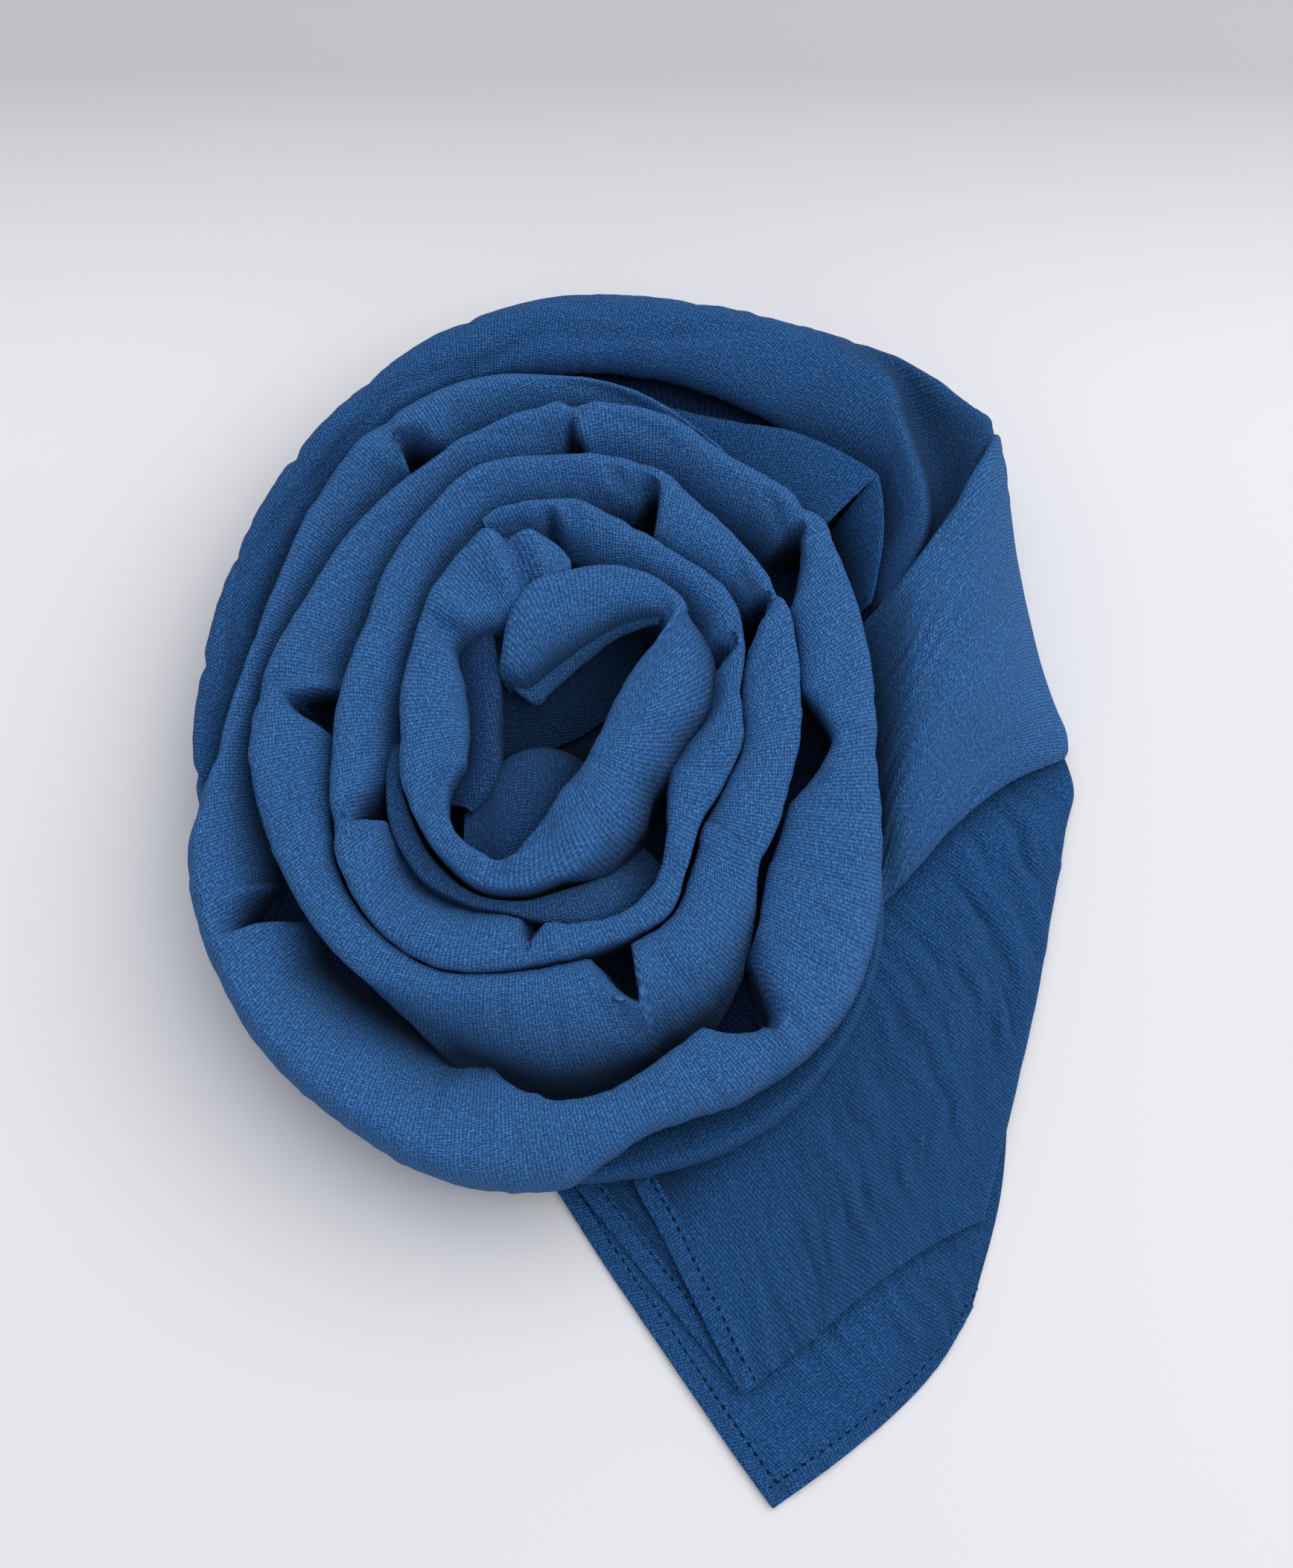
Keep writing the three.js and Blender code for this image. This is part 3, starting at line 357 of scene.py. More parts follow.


# Creases, listed one by one, with their values in the order of the fields of Crease
SPIRAL_CREASES = tuple(Crease(*row) for row in (
    (84, -3, 8, 40, 2.6, 0.9), (97, 2, -6, 34, 2.2, 0.6), (112, -4, 80, 12, 1.6, 0.7),
    (127, 3, 8, 30, 2.4, 0.8), (141, 0, -10, 24, 2, 0.5), (156, 2, 12, 26, 1.8, 0.6),
    (178, 1, 20, 18, 1.6, 0.6), (190, 5, 40, 20, 2.2, 0.8), (199, 8, 58, 26, 2.4, 1.0),
    (204, 6, 60, 26, 2.6, 0.9), (214, 9, 66, 24, 1.7, 0.8), (221, 1, 84, 22, 1.7, 0.7),
    (229, 8, 74, 26, 2, 0.9), (236, -2, 94, 20, 1.6, 0.7), (243, 6, 82, 28, 1.8, 0.8),
    (250, 0, 70, 22, 1.8, 0.7), (257, 7, 90, 22, 1.6, 0.7), (264, -1, 64, 18, 2, 0.8),
    (272, 4, 80, 16, 1.6, 0.6), (283, -3, 30, 26, 2.2, 0.8), (293, 5, 76, 20, 1.6, 0.7),
    (300, -5, 54, 18, 2.2, 1.1), (309, 5, 88, 26, 1.8, 0.8), (317, -4, 72, 26, 2, 0.9),
    (325, 6, 96, 26, 1.7, 0.7), (332, -3, 80, 26, 1.9, 0.9), (338, 8, 66, 22, 1.6, 0.6),
    (346, 0, 84, 22, 1.6, 0.7), (353, -5, 40, 18, 2.2, 1.0), (362, 4, 92, 16, 1.5, 0.6),
    (371, -4, 60, 18, 2, 1.0), (381, 2, 16, 30, 2.4, 0.8), (392, -3, 74, 16, 1.8, 0.8),
    (402, 3, 84, 16, 2, 1.0), (409, -4, 34, 22, 2.4, 1.2), (422, 2, -8, 34, 2.2, 0.6),
    (437, -3, 12, 30, 2, 0.7), (449, 2, 76, 13, 1.8, 0.9), (461, -2, 24, 22, 2, 0.7),
    (478, 2, -10, 28, 1.8, 0.5), (494, -2, 10, 26, 2.2, 0.7), (512, 2, 14, 24, 1.8, 0.5),
    (526, -2, 62, 16, 2, 1.0), (536, 3, 40, 20, 2, 0.8), (548, -3, 18, 26, 2.2, 0.9),
    (566, 1, -12, 26, 1.8, 0.5), (588, 0, 20, 18, 1.6, 0.4), (604, -2, 8, 24, 2, 0.6),
    (618, 6, 76, 20, 1.8, 0.8), (629, 12, 84, 24, 1.7, 0.7), (637, 4, 60, 22, 2.2, 1.0),
    (646, 10, 88, 22, 1.8, 0.9), (655, 3, 70, 20, 2, 0.9), (664, 8, 82, 20, 1.6, 0.7),
    (676, -3, 30, 22, 2.2, 0.8), (692, 0, -8, 26, 1.8, 0.5), (710, 2, 14, 24, 1.8, 0.5),
    (728, -2, -10, 20, 2, 0.6), (742, -3, 46, 16, 2, 0.9), (755, 1, 78, 13, 1.8, 0.9),
    (766, -2, 30, 20, 2, 0.8), (780, 2, 18, 22, 2, 0.6), (789, 1, 84, 15, 1.8, 0.9),
    (799, -4, 50, 16, 2.4, 1.2), (815, 2, -6, 28, 2, 0.5), (834, -2, 12, 28, 2, 0.6),
    (853, -3, -14, 22, 2, 0.8), (872, 0, 10, 26, 1.8, 0.5), (893, -2, 16, 22, 1.9, 0.6),
    (908, -3, 34, 18, 2.2, 0.9), (918, 2, 68, 15, 1.8, 0.9), (928, -4, 50, 14, 2, 1.0),
    (943, -6, 84, 14, 2.2, 1.5), (951, -2, 92, 15, 1.8, 1.2), (958, 2, 80, 12, 1.6, 0.8),
    (972, -1, 30, 18, 1.8, 0.7), (985, 0, 74, 9, 1.6, 0.7), (1001, 0, 18, 16, 1.4, 0.4),
    (1018, -1, 66, 9, 1.8, 0.8), (1036, 0, 24, 18, 1.8, 0.6), (1052, 1, 70, 9, 1.6, 0.6),
    (1067, 0, 58, 12, 1.8, 0.9), (1081, -3, 20, 20, 1.8, 0.7), (1098, 0, -10, 16, 1.4, 0.4),
    (1113, -1, 64, 9, 1.8, 0.8), (1132, 0, 12, 18, 1.5, 0.4), (1150, 1, 24, 16, 1.6, 0.5),
    (1168, -1, 66, 10, 1.8, 0.8), (118.4, 1, 92, 22, 2.4, 1.5, 1), (123, 0, 74, 20, 2.6, -0.9, 1),
    (303, 6, 104, 30, 3, 1.4, 1), (358, 5, 70, 18, 2.6, 1.3, 1), (364.5, 3, 104, 18, 2.4, -1.0, 1),
    (401, 4, 62, 18, 3, -1.6, 1), (405.6, 4, 96, 16, 2.2, 1.8, 1), (448, 3, 78, 13, 2, 1.4, 1),
    (452.5, 1, 104, 14, 2.4, -0.8, 1), (529, 4, 62, 18, 2.6, 1.6, 1), (537, 1, 38, 24, 2.8, -1.0, 1),
    (641, 2, 74, 26, 3, 1.6, 1), (648, 4, 96, 26, 2.2, -1.5, 1), (684, -2, 40, 22, 2.6, 1.3, 1),
    (755, 2, 70, 14, 2, 1.3, 1), (750, 0, 56, 16, 2.6, -1.1, 1), (788.6, 1, 84, 17, 2.2, -1.5, 1),
    (794, -2, 74, 18, 2.6, 1.6, 1), (803, -3, 62, 18, 3, -0.9, 1), (921, 2, 66, 16, 2.2, 1.4, 1),
    (914, -1, 52, 18, 2.6, -0.9, 1), (946, -4, 88, 15, 2.4, 2.0, 1), (981, 0, 84, 12, 2.2, 1.0, 1),
    (1028, 0, 52, 12, 2.6, 1.3, 1), (1076, -2, 40, 18, 2.6, -0.9, 1), (1111, -1, 74, 12, 2, 1.2, 1),
))
INNER_CREASES = tuple(Crease(*row) for row in (
    (103.6, -2, 82, 40, 2.6, 6, 1), (98.4, -3, 74, 30, 2.6, -2, 1), (110.5, -2, 92, 34, 3, -2, 1),
    (119, -4, 56, 26, 3.4, 2.4, 1), (129, -3, 70, 24, 3, -1.4, 1), (137, -4, 84, 22, 3, 2.2, 1),
    (206, -1, 70, 16, 2.6, 1.8, 1), (240, 0, 86, 12, 2.4, -1.4, 1), (247, -1, 66, 16, 2.6, 1.6, 1),
    (262, -3, 66, 34, 4, 2.2, 1), (272, 0, 72, 32, 3.6, -2, 1), (405, 1, 74, 16, 2.6, -1.4, 1),
    (412, -2, 40, 20, 3, 1.4, 1), (126, -4, 70, 18, 2.8, 1.4), (139, -3, 66, 16, 2.4, 1.6),
    (150, 0, 30, 20, 2.2, 0.8), (168, 2, -8, 22, 2, 0.5), (187, -3, 20, 20, 2.2, 0.8),
    (203, -1, 62, 14, 2.2, 1.2), (219, 0, 20, 16, 1.8, 0.6), (236, 1, 70, 8, 1.6, 0.9),
    (247, 2, 40, 18, 2.2, 1.3), (258, -6, 18, 28, 3, 1.6), (276, 2, -14, 26, 2.4, 0.8),
    (295, -2, 12, 26, 2.2, 0.6), (315, 3, 20, 22, 2, 0.5), (334, -1, -10, 24, 2, 0.5),
    (352, 2, 16, 22, 2, 0.5), (371, 0, -12, 22, 2, 0.5), (388, 2, 30, 18, 2, 0.7),
    (402, 0, 64, 14, 2.2, 1.0), (416, -3, 16, 20, 2, 0.6), (433, 0, -8, 22, 2, 0.5),
    (447, -5, 14, 20, 2.2, 0.6), (462, 1, 24, 16, 2, 0.6), (475, -2, 66, 14, 2, 0.7),
))

# The same on the outermost stretch, where the first value is the distance from its left end, in millimetres
WRAP_CREASES = tuple(Crease(*row) for row in (
    (26, 4, 70, 24, 2, 1.1), (44, -3, 52, 26, 2.2, 1.0), (58, 8, 64, 26, 2, 1.1),
    (74, -4, 12, 44, 2.6, 1.0), (88, 6, 58, 24, 1.9, 1.0), (104, -5, -8, 52, 2.8, 1.2),
    (121, 5, 66, 26, 2, 1.0), (137, -7, 8, 46, 2.4, 1.2), (150, 6, 50, 26, 2.2, 0.9),
    (165, -5, -10, 52, 2.6, 1.2), (181, 4, 62, 24, 2, 1.0), (196, -8, 10, 56, 2.8, 1.4),
    (214, 3, -14, 44, 2.4, 1.0), (228, -7, 6, 48, 2.6, 1.3), (242, 5, 40, 28, 2.2, 1.0),
    (255, -3, 18, 36, 2.4, 1.0),
))


class Ripple:
    """Smooth noise over a surface, the same on every run."""

    SIZE = 128

    def __init__(self, seed: int) -> None:
        """Fills the lattice of values.

        Args:
            seed: the lattice's own number.
        """
        self.values = np.random.default_rng(seed).uniform(-1.0, 1.0, (self.SIZE, self.SIZE))

    def corner(self, column: np.ndarray, row: np.ndarray) -> np.ndarray:
        """Lattice values at whole places."""
        return self.values[column % self.SIZE, row % self.SIZE]

    def at(self, x: np.ndarray, y: np.ndarray | float) -> np.ndarray:
        """Noise value at each place.

        Args:
            x: first coordinate, one lattice cell a unit.
            y: second coordinate.

        Returns:
            Values from about -1 to 1.
        """
        x, y = np.broadcast_arrays(x, y)
        column, row = np.floor(x).astype(int), np.floor(y).astype(int)
        fx, fy = x - column, y - row
        sx, sy = (f * f * f * (f * (f * 6 - 15) + 10) for f in (fx, fy))
        low = self.corner(column, row) * (1 - sx) + self.corner(column + 1, row) * sx
        high = self.corner(column, row + 1) * (1 - sx) + self.corner(column + 1, row + 1) * sx
        return low * (1 - sy) + high * sy


def bell(distance: np.ndarray, width: float) -> np.ndarray:
    """Soft bump of height 1 that has faded at about twice the width.

    Args:
        distance: distances from the bump's line.
        width: the bump's half width.

    Returns:
        The bump's height at each distance.
    """
    return np.exp(-((distance / width) ** 2))


class Sections:
    """A table of sections, read as smooth curves that never overshoot their rows."""

    # Step of the arc's sum and its margin beyond both ends, in degrees
    ARC_STEP = 0.5
    ARC_MARGIN = 4

    def __init__(self, rows: Rows) -> None:
        """Keeps the rows as columns.

        Args:
            rows: one tuple a section, in the order of SECTION_COLUMNS.
        """
        self.table = np.array([(*row, LEG, LEG)[: len(SECTION_COLUMNS)] for row in rows], dtype=float)
        self.bearing = self.table[:, 0]

    def column(self, name: str, bearings: np.ndarray) -> np.ndarray:
        """Values of one column at the bearings.

        Args:
            name: the column's name.
            bearings: where to read it, in degrees.

        Returns:
            The column's monotone cubic through the rows.
        """
        values = self.table[:, SECTION_COLUMNS.index(name)]
        spans = np.diff(self.bearing)
        slopes = np.diff(values) / spans
        tangents = np.zeros_like(values)
        product = slopes[:-1] * slopes[1:]
        steady = product > 0
        tangents[1:-1][steady] = 2 * product[steady] / (slopes[:-1] + slopes[1:])[steady]
        tangents[0], tangents[-1] = slopes[0], slopes[-1]
        place = np.clip(np.searchsorted(self.bearing, bearings, side="right") - 1, 0, len(spans) - 1)
        s = np.clip((bearings - self.bearing[place]) / spans[place], 0.0, 1.0)
        return (
            values[place] * (1 + 2 * s) * (1 - s) ** 2
            + values[place + 1] * s * s * (3 - 2 * s)
            + spans[place] * (tangents[place] * s * (1 - s) ** 2 - tangents[place + 1] * s * s * (1 - s))
        )

    def arc(self, bearings: np.ndarray) -> np.ndarray:
        """Length of the winding from its first row.

        Args:
            bearings: in degrees.

        Returns:
            The length up to each bearing, in millimetres.
        """
        first, last = self.bearing[0] - self.ARC_MARGIN, self.bearing[-1] + self.ARC_MARGIN
        fine = np.arange(first, last, self.ARC_STEP)
        radius = (self.column("inner", fine) + self.column("outer", fine)) / 2
        length = np.cumsum(radius) * math.radians(self.ARC_STEP)
        return np.interp(bearings, fine, length)

    def at(self, bearings: np.ndarray) -> Columns:
        """Every column at the bearings, by name."""
        return {name: self.column(name, bearings) for name in SECTION_COLUMNS[1:]}


def grid_normals(grid: Grid) -> Grid:
    """Unit normals of a grid of points, across its first row and then along it.

    Args:
        grid: points as rows by columns by xyz.

    Returns:
        One normal a point.
    """
    along, across = np.gradient(grid, axis=0), np.gradient(grid, axis=1)
    normals = np.cross(across, along)
    return normals / np.maximum(np.linalg.norm(normals, axis=2, keepdims=True), 1e-9)


def arc_lengths(grid: Grid, axis: int) -> np.ndarray:
    """Running length over a grid.

    Args:
        grid: points as rows by columns by xyz.
        axis: 0 to go along the columns and 1 to go along the rows.

    Returns:
        The length from the grid's start along that axis, one value a point.
    """
    steps = np.linalg.norm(np.diff(grid, axis=axis), axis=2)
    pad = [(1, 0), (0, 0)] if axis == 0 else [(0, 0), (1, 0)]
    return np.pad(np.cumsum(steps, axis=axis), pad)


@dataclass(frozen=True)
class Crinkle:
    """Fine permanent wrinkles of the crepe, and a slow swell under them, in millimetres.

    They run across the scarf, or lean from that by an angle in radians.
    """

    # How far the wrinkles bend sideways, and over what distances
    BEND = 2.4
    BEND_CELLS = (14, 30)
    # A finer set between them, by parts of their spacing, length and height
    FINER_CELLS = (0.52, 0.6)
    FINER_SHARE = 0.45
    # Patches of stronger and weaker wrinkles: their size, the least strength, and what the noise adds to it
    PATCH_CELLS = (38, 22)
    LEAST, MORE = 0.35, 0.65
    PATCH_MIDDLE, PATCH_MOST = 0.55, 1.2
    # The swell's width as a part of its length
    SWELL_WIDTH = 0.8

    spacing: float
    length: float
    height: float
    swell: float
    swell_length: float
    lean: float = 0.0

    def lift(self, u: np.ndarray, v: np.ndarray, seed: int) -> np.ndarray:
        """Height of the surface over its smooth form.

        The whole numbers added here keep one reading of the noise apart from the others.

        Args:
            u: distance along the scarf, in millimetres.
            v: distance across it.
            seed: the stretch's own number.

        Returns:
            Lift along the normal, in millimetres.
        """
        ripple, slow = Ripple(seed), Ripple(seed + 1)
        along = u * math.cos(self.lean) + v * math.sin(self.lean)
        across = v * math.cos(self.lean) - u * math.sin(self.lean)
        bent = along + self.BEND * slow.at(across / self.BEND_CELLS[0] + 7, along / self.BEND_CELLS[1])
        fine = ripple.at(bent / self.spacing, across / self.length)
        spacing, length = self.spacing * self.FINER_CELLS[0], self.length * self.FINER_CELLS[1]
        finer = ripple.at(bent / spacing + 31, across / length + 17)
        patch = slow.at(along / self.PATCH_CELLS[0] + 3, across / self.PATCH_CELLS[1] + 5)
        strength = self.LEAST + self.MORE * np.clip(patch + self.PATCH_MIDDLE, 0, self.PATCH_MOST)
        swell_width = self.swell_length * self.SWELL_WIDTH
        swell = slow.at(along / self.swell_length + 11, across / swell_width + 9)
        return self.height * strength * (fine + self.FINER_SHARE * finer) + self.swell * swell


FINE = Crinkle(spacing=3.6, length=16, height=0.2, swell=0.3, swell_length=24)
WRINKLED = Crinkle(spacing=3.4, length=14, height=0.3, swell=0.32, swell_length=24)
SMOOTH = Crinkle(spacing=5, length=18, height=0.1, swell=0.3, swell_length=20)
ROLLED = Crinkle(spacing=3, length=9, height=0.12, swell=0.2, swell_length=14)
RUMPLED = Crinkle(spacing=3.8, length=26, height=1.15, swell=0.4, swell_length=30, lean=0.06)
DRAWN_IN = Crinkle(spacing=3.2, length=20, height=0.6, swell=0.5, swell_length=22, lean=1.35)


@dataclass
class Stretch:
    """One stretch of the winding that shows, as an arch of cloth between two bearings.

    Sizes are in millimetres, and bearings in degrees counter-clockwise from +X. A dive table gives, by
    bearing, 0 where a side ends in a crisp lip and 1 where it slopes down and dives under its neighbour.
    """

    # Stations beyond each end, worked out for the normals of the last ones and then left off
    MARGIN = 3
    FEWEST_STATIONS = 8
    # The wander of the edges is this part of the height's, over waves of these lengths
    EDGE_WANDER = 0.6
    EDGE_WAVES = (19, 23)
    HEIGHT_WAVES = (34, 15)
    RIDGE_WANDER, RIDGE_WAVE = 0.04, 22
    # A dive draws the crest this part of the way to this place in the width
    INNER_DIVE_CREST = (0.75, 0.8)
    OUTER_DIVE_CREST = (0.5, 0.2)
    # A notch takes up to this part of the width, leaves this part of the rest inside the crest, and ends
    # the dive of the inner side over this depth
    NOTCH_MOST, NOTCH_CREST, NOTCH_LIP = 0.7, 0.28, 6
    # Shape of a dive, even slope and growing slope, and how far its leg reaches under the neighbour
    DIVE_SLOPE = (0.35, 0.65)
    DIVE_REACH = 4.5
    DIVE_SLACK = 0.35
    # A lip's leg is tucked in by a part of the side's width and more, up to the last value
    TUCK = (0.22, 0.9, 3.2)
    TUCK_CURVE = 1.2
    # Creases count up to this far beyond the ends, in the stations' own measure
    CREASE_MARGIN = 12
    # The painted shade of the crevices starts this far below the crest and grows by this power
    LIT = 4.0
    SHADE_CURVE = 1.5
    # An outer side whose foot is this low is open and gets no painted shade, and over this much more it
    # closes
    OPEN_FOOT, OPEN_SPAN = 10, 15
    # The crinkles fade out towards the table from this height on, over this one
    STILL, STILL_SPAN = 1.0, 6.0

    name: str
    rows: Rows
    nodes: tuple[str, ...]
    seed: int
    start: float | None = None
    stop: float | None = None
    pockets: tuple[Pocket, ...] = ()
    creases: tuple[Crease, ...] = ()
    crinkle: Crinkle = FINE
    inner_dive: Rows = ((0, 0.0),)
    outer_dive: Rows = ((0, 0.0),)
    fullness: float = 2.6
    lip_drop: float = 0.62
    dive_drop: float = 1.5
    step: float = 0.95
    side_points: int = 16
    leg_points: int = 6
    thickness: float = 0.6
    wander: float = 0.45
    # Span below the crest over which the crevices' painted shade grows, and the least painted shade all over
    crevice: float = 15.0
    painted_shade_base: float = 0.0
    rests_on: tuple[str, ...] = ("hidden_layers_cloth",)
    held: Hold = Hold.FOLDED

    @property
    def crest(self) -> int:
        """Place of the crest in a row of points."""
        return self.leg_points + self.side_points - 2

    def bearings(self, sections: Sections) -> np.ndarray:
        """Bearings of the stretch's stations, a step of cloth apart.

        Args:
            sections: the stretch's own table.

        Returns:
            Bearings in degrees, with the margin's at both ends.
        """
        first = self.start if self.start is not None else sections.bearing[0]
        last = self.stop if self.stop is not None else sections.bearing[-1]
        radius = float(np.mean(sections.column("outer", np.linspace(first, last, 50))))
        count = max(self.FEWEST_STATIONS, int(math.radians(last - first) * radius / self.step))
        step = (last - first) / count
        return first + step * np.arange(-self.MARGIN, count + self.MARGIN + 1)

    def crest_place(self, place: np.ndarray, dives: list[np.ndarray]) -> np.ndarray:
        """The crest's place in the width, drawn away from a side that dives.

        Args:
            place: the place in the table.
            dives: how far the inner and the outer side dive, from 0 to 1.

        Returns:
            The place, from 0 at the inner edge to 1 at the outer edge.
        """
        inner_part, inner_place = self.INNER_DIVE_CREST
        outer_part, outer_place = self.OUTER_DIVE_CREST
        outwards = inner_part * dives[0] * (1 - dives[1]) * np.maximum(inner_place - place, 0)
        return place + outwards - outer_part * dives[1] * (place - outer_place)

    def section_points(self, bearings: np.ndarray) -> tuple[np.ndarray, np.ndarray]:
        """Radii and heights of the arches at the bearings, one row a station.

        Args:
            bearings: in degrees.

        Returns:
            Radii, and heights.
        """
        sections = Sections(self.rows)
        cols = sections.at(bearings)
        wave = Ripple(self.seed + 40)
        arc = sections.arc(bearings)
        edge_wander = self.wander * self.EDGE_WANDER
        inner = cols["inner"] + edge_wander * wave.at(arc / self.EDGE_WAVES[0], 12.5)
        outer = cols["outer"] + edge_wander * wave.at(arc / self.EDGE_WAVES[1], 17.5)
        long_wave, short_wave = (arc / length for length in self.HEIGHT_WAVES)
        height = cols["height"] + self.wander * (wave.at(long_wave, 0.5) + 0.5 * wave.at(short_wave, 3.5))
        width = outer - inner
        dives = [np.interp(bearings, *zip(*table)) for table in (self.inner_dive, self.outer_dive)]
        place = cols["ridge"] + self.RIDGE_WANDER * wave.at(arc / self.RIDGE_WAVE, 6.5)
        ridge = inner + self.crest_place(place, dives) * width
        level = np.zeros_like(bearings)
        notch = np.max([level, *(pocket.notch(bearings) for pocket in self.pockets)], axis=0)
        notch = np.minimum(notch, width * self.NOTCH_MOST)
        inner = inner + notch
        ridge = np.maximum(ridge, inner + self.NOTCH_CREST * (outer - inner))
        sags = [pocket.sag(bearings) for pocket in self.pockets]
        sinks = [sag * pocket.sink for sag, pocket in zip(sags, self.pockets)]
        inner_dive = np.max([level, dives[0] * np.clip(1 - notch / self.NOTCH_LIP, 0, 1), *sags], axis=0)
        inner_drop = cols["inner_drop"] + np.max([level, *sinks], axis=0)
        outer_drop = cols["outer_drop"]
        inner_out, inner_z = self.side(ridge - inner, height, inner_drop, cols["inner_foot"], inner_dive)
        outer_out, outer_z = self.side(outer - ridge, height, outer_drop, cols["outer_foot"], dives[1])
        radii = np.hstack([ridge[:, None] - inner_out[:, ::-1], ridge[:, None] + outer_out[:, 1:]])
        return radii, np.hstack([inner_z[:, ::-1], outer_z[:, 1:]])

    def side(
        self, width: np.ndarray, height: np.ndarray, drop: np.ndarray, foot: np.ndarray, dive: np.ndarray
    ) -> tuple[np.ndarray, np.ndarray]:
        """One side of the arches, from the crest to the foot.

        Args:
            width: from the crest to the edge.
            height: the crest's height.
            drop: from the crest down to the edge.
            foot: the foot's height.
            dive: 0 for a lip and 1 for a dive.

        Returns:
            Distances from the crest, and heights.
        """
        angle = np.linspace(0, math.pi / 2, self.side_points)[None, :]
        power = 2 / self.fullness
        lip_out, lip_down = np.sin(angle) ** power, 1 - np.cos(angle) ** power
        dive_out = np.linspace(0, 1, self.side_points)[None, :]
        dive_down = self.DIVE_SLOPE[0] * dive_out + self.DIVE_SLOPE[1] * dive_out**2
        width, height, drop, foot, dive = (a[:, None] for a in (width, height, drop, foot, dive))
        out = width * (lip_out * (1 - dive) + dive_out * dive)
        drop = drop * (self.lip_drop * (1 - dive) + self.dive_drop * dive)
        down = drop * (lip_down * (1 - dive) + dive_down * dive)
        leg = np.linspace(0, 1, self.leg_points)[None, 1:]
        part, more, most = self.TUCK
        tuck = np.minimum(part * width + more, most)
        under = (self.DIVE_REACH * np.sin(np.minimum(leg * 3, 1) * math.pi / 2)) * dive
        reach = under - tuck * (1 - dive) * leg**self.TUCK_CURVE
        edge = height - drop
        leg_height = edge + (foot - edge) * (leg * (1 - self.DIVE_SLACK * dive * (1 - leg)))
        return np.hstack([out, width + reach]), np.hstack([height - down, leg_height])

    def arch_points(self, bearings: np.ndarray) -> Grid:
        """Points of the arches.

        Args:
            bearings: in degrees.

        Returns:
            One row of points a bearing, in millimetres.
        """
        radius, z = self.section_points(bearings)
        angle = np.radians(bearings)[:, None]
        return np.stack([radius * np.cos(angle), radius * np.sin(angle), z], axis=2)

    def grid(self) -> tuple[Grid, np.ndarray, np.ndarray]:
        """Points of the smooth form, with the cloth's own coordinates.

        Returns:
            Points in millimetres, distance along the scarf, and distance across it from the crest.
        """
        sections = Sections(self.rows)
        self.stations = self.bearings(sections)
        grid = self.arch_points(self.stations)
        u = sections.arc(self.stations)[:, None] * np.ones(grid.shape[:2])
        v = arc_lengths(grid, 1)
        return grid, u, v - v[:, self.crest][:, None]

    def crease_lift(self, u: np.ndarray, v: np.ndarray) -> np.ndarray:
        """The hand-placed creases over the surface.

        Args:
            u: distance along the scarf, in millimetres.
            v: distance across it from the crest.

        Returns:
            Lift along the normal, less than 0 in a trough.
        """
        first, last = self.stations[0], self.stations[-1]
        step = (u[-1, 0] - u[0, 0]) / (last - first)
        lift = np.zeros_like(u)
        for crease in self.creases:
            if not first - self.CREASE_MARGIN < crease.bearing < last + self.CREASE_MARGIN:
                continue
            past = crease.bearing - np.clip(crease.bearing, first, last)
            place = np.interp(crease.bearing, self.stations, u[:, 0]) + past * step
            angle = math.radians(crease.turn)
            along = (u - place) * math.cos(angle) + (v - crease.across) * math.sin(angle)
            beside = (v - crease.across) * math.cos(angle) - (u - place) * math.sin(angle)
            taper = np.clip(1 - (2 * along / crease.length) ** 2, 0, 1)
            lift -= crease.depth * taper * crease.profile(beside)
        return lift

    def shade(self, grid: Grid) -> np.ndarray:
        """Painted shade: how dark each point of the smooth form is painted, the further it lies down in a
        crevice.

        Args:
            grid: points of the smooth form.

        Returns:
            Painted shade from 0 to 1, with 0 on an outer side that stands open.
        """
        down = grid[:, self.crest, 2][:, None] - grid[:, :, 2]
        deep = np.clip((down - self.LIT) / self.crevice, 0, 1) ** self.SHADE_CURVE
        closed = np.clip((grid[:, -1, 2] - self.OPEN_FOOT) / self.OPEN_SPAN, 0, 1)[:, None]
        beyond = np.arange(grid.shape[1])[None, :] > self.crest
        return np.maximum(deep * np.where(beyond, closed, 1.0), self.painted_shade_base)

    def wrinkled(self, grid: Grid, normals: Grid, u: np.ndarray, v: np.ndarray) -> Grid:
        """The form with its creases and crinkles, which fade out at the table.

        Args:
            grid: points of the smooth form.
            normals: their normals, turned outwards.
            u: distance along the scarf.
            v: distance across it.

        Returns:
            The lifted points.
        """
        fade = np.clip((grid[:, :, 2] - self.STILL) / self.STILL_SPAN, 0, 1)
        lift = (self.crinkle.lift(u, v, self.seed) + self.crease_lift(u, v)) * fade
        return grid + normals * lift[:, :, None]

    def surface(self) -> tuple[Grid, np.ndarray, np.ndarray]:
        """The finished form without its margins; its painted shade is kept as depth.

        Returns:
            Points, distance along the scarf, and distance across it.
        """
        grid, u, v = self.grid()
        kept = slice(self.MARGIN, len(grid) - self.MARGIN)
        self.depth = self.shade(grid)[kept]
        grid = self.wrinkled(grid, grid_normals(grid), u, v)[kept]
        grid[:, :, 2] = np.maximum(grid[:, :, 2], FLOOR)
        return grid, u[kept], v[kept]


